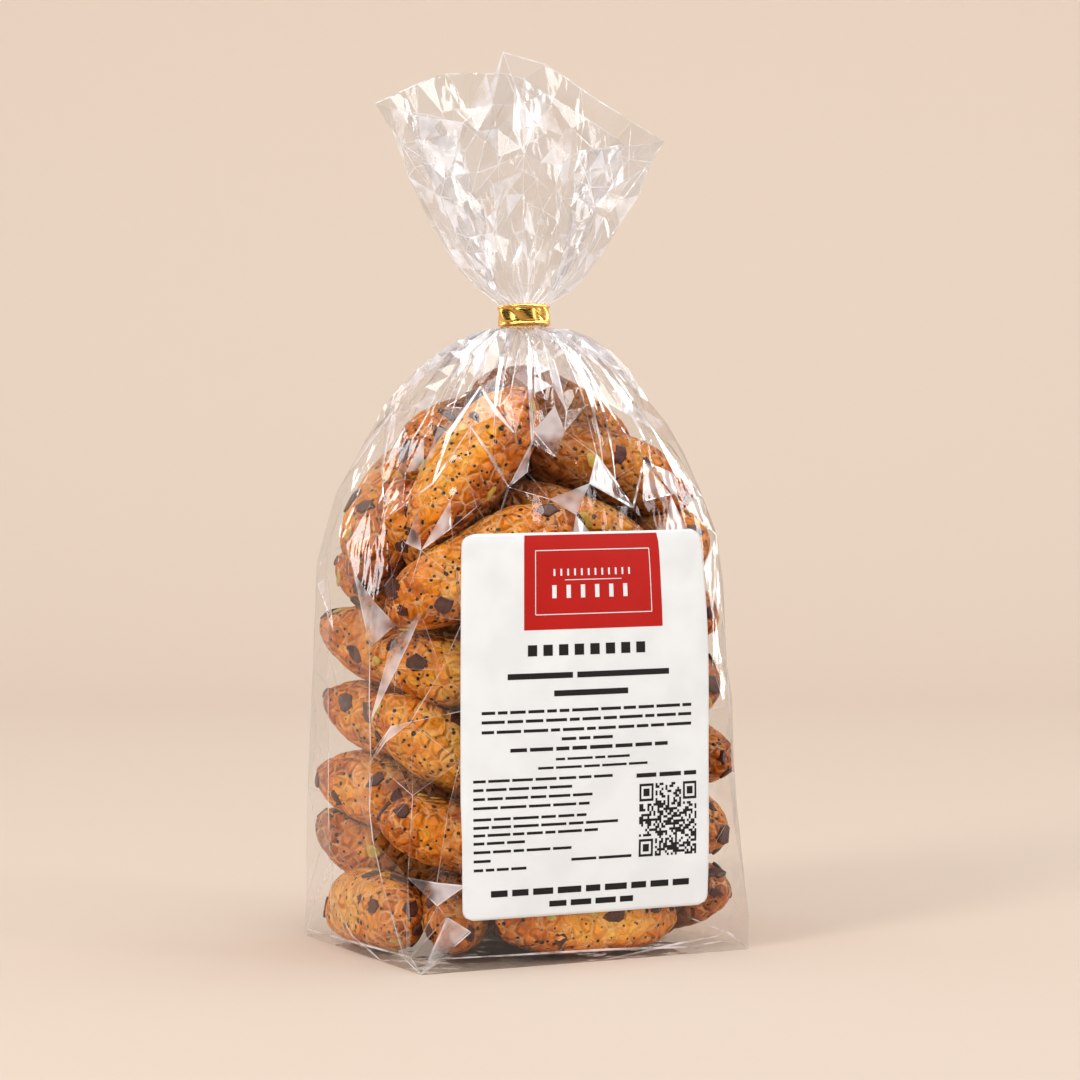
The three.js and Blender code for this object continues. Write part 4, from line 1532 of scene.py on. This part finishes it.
def code_cells(draw):
    """Which cells of the code are filled: scattered ones, with a framed block in three corners."""
    filled = draw.random((CODE_CELLS, CODE_CELLS)) < 0.5
    marker = np.zeros((MARKER_CELLS, MARKER_CELLS), dtype=bool)
    marker[[0, -1], :] = marker[:, [0, -1]] = True
    marker[2:-2, 2:-2] = True
    far = CODE_CELLS - MARKER_CELLS
    for row, column in ((0, 0), (far, 0), (far, far)):
        filled[max(row - 1, 0):row + MARKER_CELLS + 1, max(column - 1, 0):column + MARKER_CELLS + 1] = False
        filled[row:row + MARKER_CELLS, column:column + MARKER_CELLS] = marker
    return filled


def print_code(ink, draw):
    """The square code, with each row's runs of filled cells as single bars."""
    u_low, u_high, v_low, v_high = CODE_BOX
    cell_u, cell_v = (u_high - u_low) / CODE_CELLS, (v_high - v_low) / CODE_CELLS
    for row, cells_of_row in enumerate(code_cells(draw)):
        low, high = v_low + row * cell_v, v_low + (row + 1) * cell_v
        steps = np.diff(np.concatenate([[0], cells_of_row.astype(int), [0]]))
        for start, end in zip(np.flatnonzero(steps == 1), np.flatnonzero(steps == -1)):
            ink.bar(u_low + start * cell_u, u_low + end * cell_u, low, high)


def add_label():
    draw = np.random.default_rng(5)
    sheet = build_mesh("paper_label", *label_sheet())
    dress(sheet, paper_material("label_paper", LABEL_WHITE, 0.45), "label")

    red, white, ink = Print(), Print(2 * PRINT_LIFT), Print()
    red.bar(*PANEL_BOX)
    white.frame(*PANEL_FRAME, PANEL_LINE)
    for blocks in PANEL_BLOCKS:
        white.blocks(*blocks)
    white.bar(*PANEL_RULE)
    ink.blocks(*TITLE_BLOCKS)
    for u_low, u_high, v, height, shortest, longest in TITLE_LINES:
        ink.words(u_low, u_high, v, height, draw, shortest, longest)
    for line in PRINT_LINES:
        ink.words(*line, draw, *WORD_LENGTHS)
    print_code(ink, draw)

    red.build("label_panel", paper_material("panel_red", LABEL_RED), "label_red")
    white.build("label_panel_lines", paper_material("panel_white", LABEL_WHITE), "label_paper")
    ink.build("label_print", paper_material("print_black", LABEL_INK), "label_ink")


# Studio
def add_softbox(name, azimuth, elevation, distance, width, height, radiance, reflections_only=False):
    """A rectangular area light aimed at the bag's middle."""
    data = bpy.data.lights.new(name, "AREA")
    data.shape = "RECTANGLE"
    data.size, data.size_y = width, height
    data.energy = radiance * math.pi * width * height
    course, lift = math.radians(azimuth), math.radians(elevation)
    away = Vector((math.sin(course) * math.cos(lift), -math.cos(course) * math.cos(lift), math.sin(lift)))
    light = bpy.data.objects.new(name, data)
    light.location = LIGHT_TARGET + away * distance
    light.rotation_euler = (-away).to_track_quat("-Z", "Y").to_euler()
    light.visible_diffuse = not reflections_only
    bpy.context.collection.objects.link(light)


def add_sweep():
    """A pale floor that curves up into a backdrop, square to the camera."""
    bend = np.linspace(0, math.pi / 2, 24)
    end = SWEEP_DEPTH + SWEEP_RADIUS
    depth = np.concatenate([SWEEP_FLOOR, SWEEP_DEPTH + SWEEP_RADIUS * np.sin(bend), [end]])
    height = np.concatenate([0 * np.array(SWEEP_FLOOR), SWEEP_RADIUS * (1 - np.cos(bend)), [SWEEP_TOP]])
    profile = depth[:, None] * VIEW_FORWARD + height[:, None] * UP
    points = (profile[:, None] + SWEEP_SIDES[None, :, None] * VIEW_RIGHT).reshape(-1, 3)
    sweep = build_mesh("sweep", points, grid_faces(len(profile), len(SWEEP_SIDES), closed=False))
    sweep.data.materials.append(sweep_material())


def add_studio():
    add_sweep()
    for name, settings in SOFTBOXES.items():
        add_softbox(name, *settings)
    world = bpy.data.worlds.new("studio_air")
    world.use_nodes = True
    background = world.node_tree.nodes["Background"]
    background.inputs["Color"].default_value = (*WORLD_COLOR, 1)
    background.inputs["Strength"].default_value = WORLD_STRENGTH
    world.cycles_visibility.glossy = False
    bpy.context.scene.world = world
    bpy.context.scene.view_settings.view_transform = "Standard"
    bpy.context.scene.cycles.transparent_max_bounces = 40


# Assembly
def dress(piece, material=None, replaces=None):
    """Rides a piece on root, with, where given, a material and the node it replaces."""
    if material:
        piece.data.materials.append(material)
    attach(piece, "root")
    if replaces:
        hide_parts(replaces)


add_camera()
add_studio()
biscotti, chocolate, pistachio = add_biscotti()
crust = crust_material()
for piece in biscotti:
    dress(piece, crust, "bag")
dress(chocolate, chocolate_material(), "bag")
dress(pistachio, pistachio_material(), "bag")
film_bag, film_ruffle_piece, film_folds = add_film()
dress(film_bag, replaces="bag")
dress(film_folds, replaces="bag")
dress(film_ruffle_piece, replaces="ruffle")
dress(add_band(), gold_material(), "tie_band")
add_label()
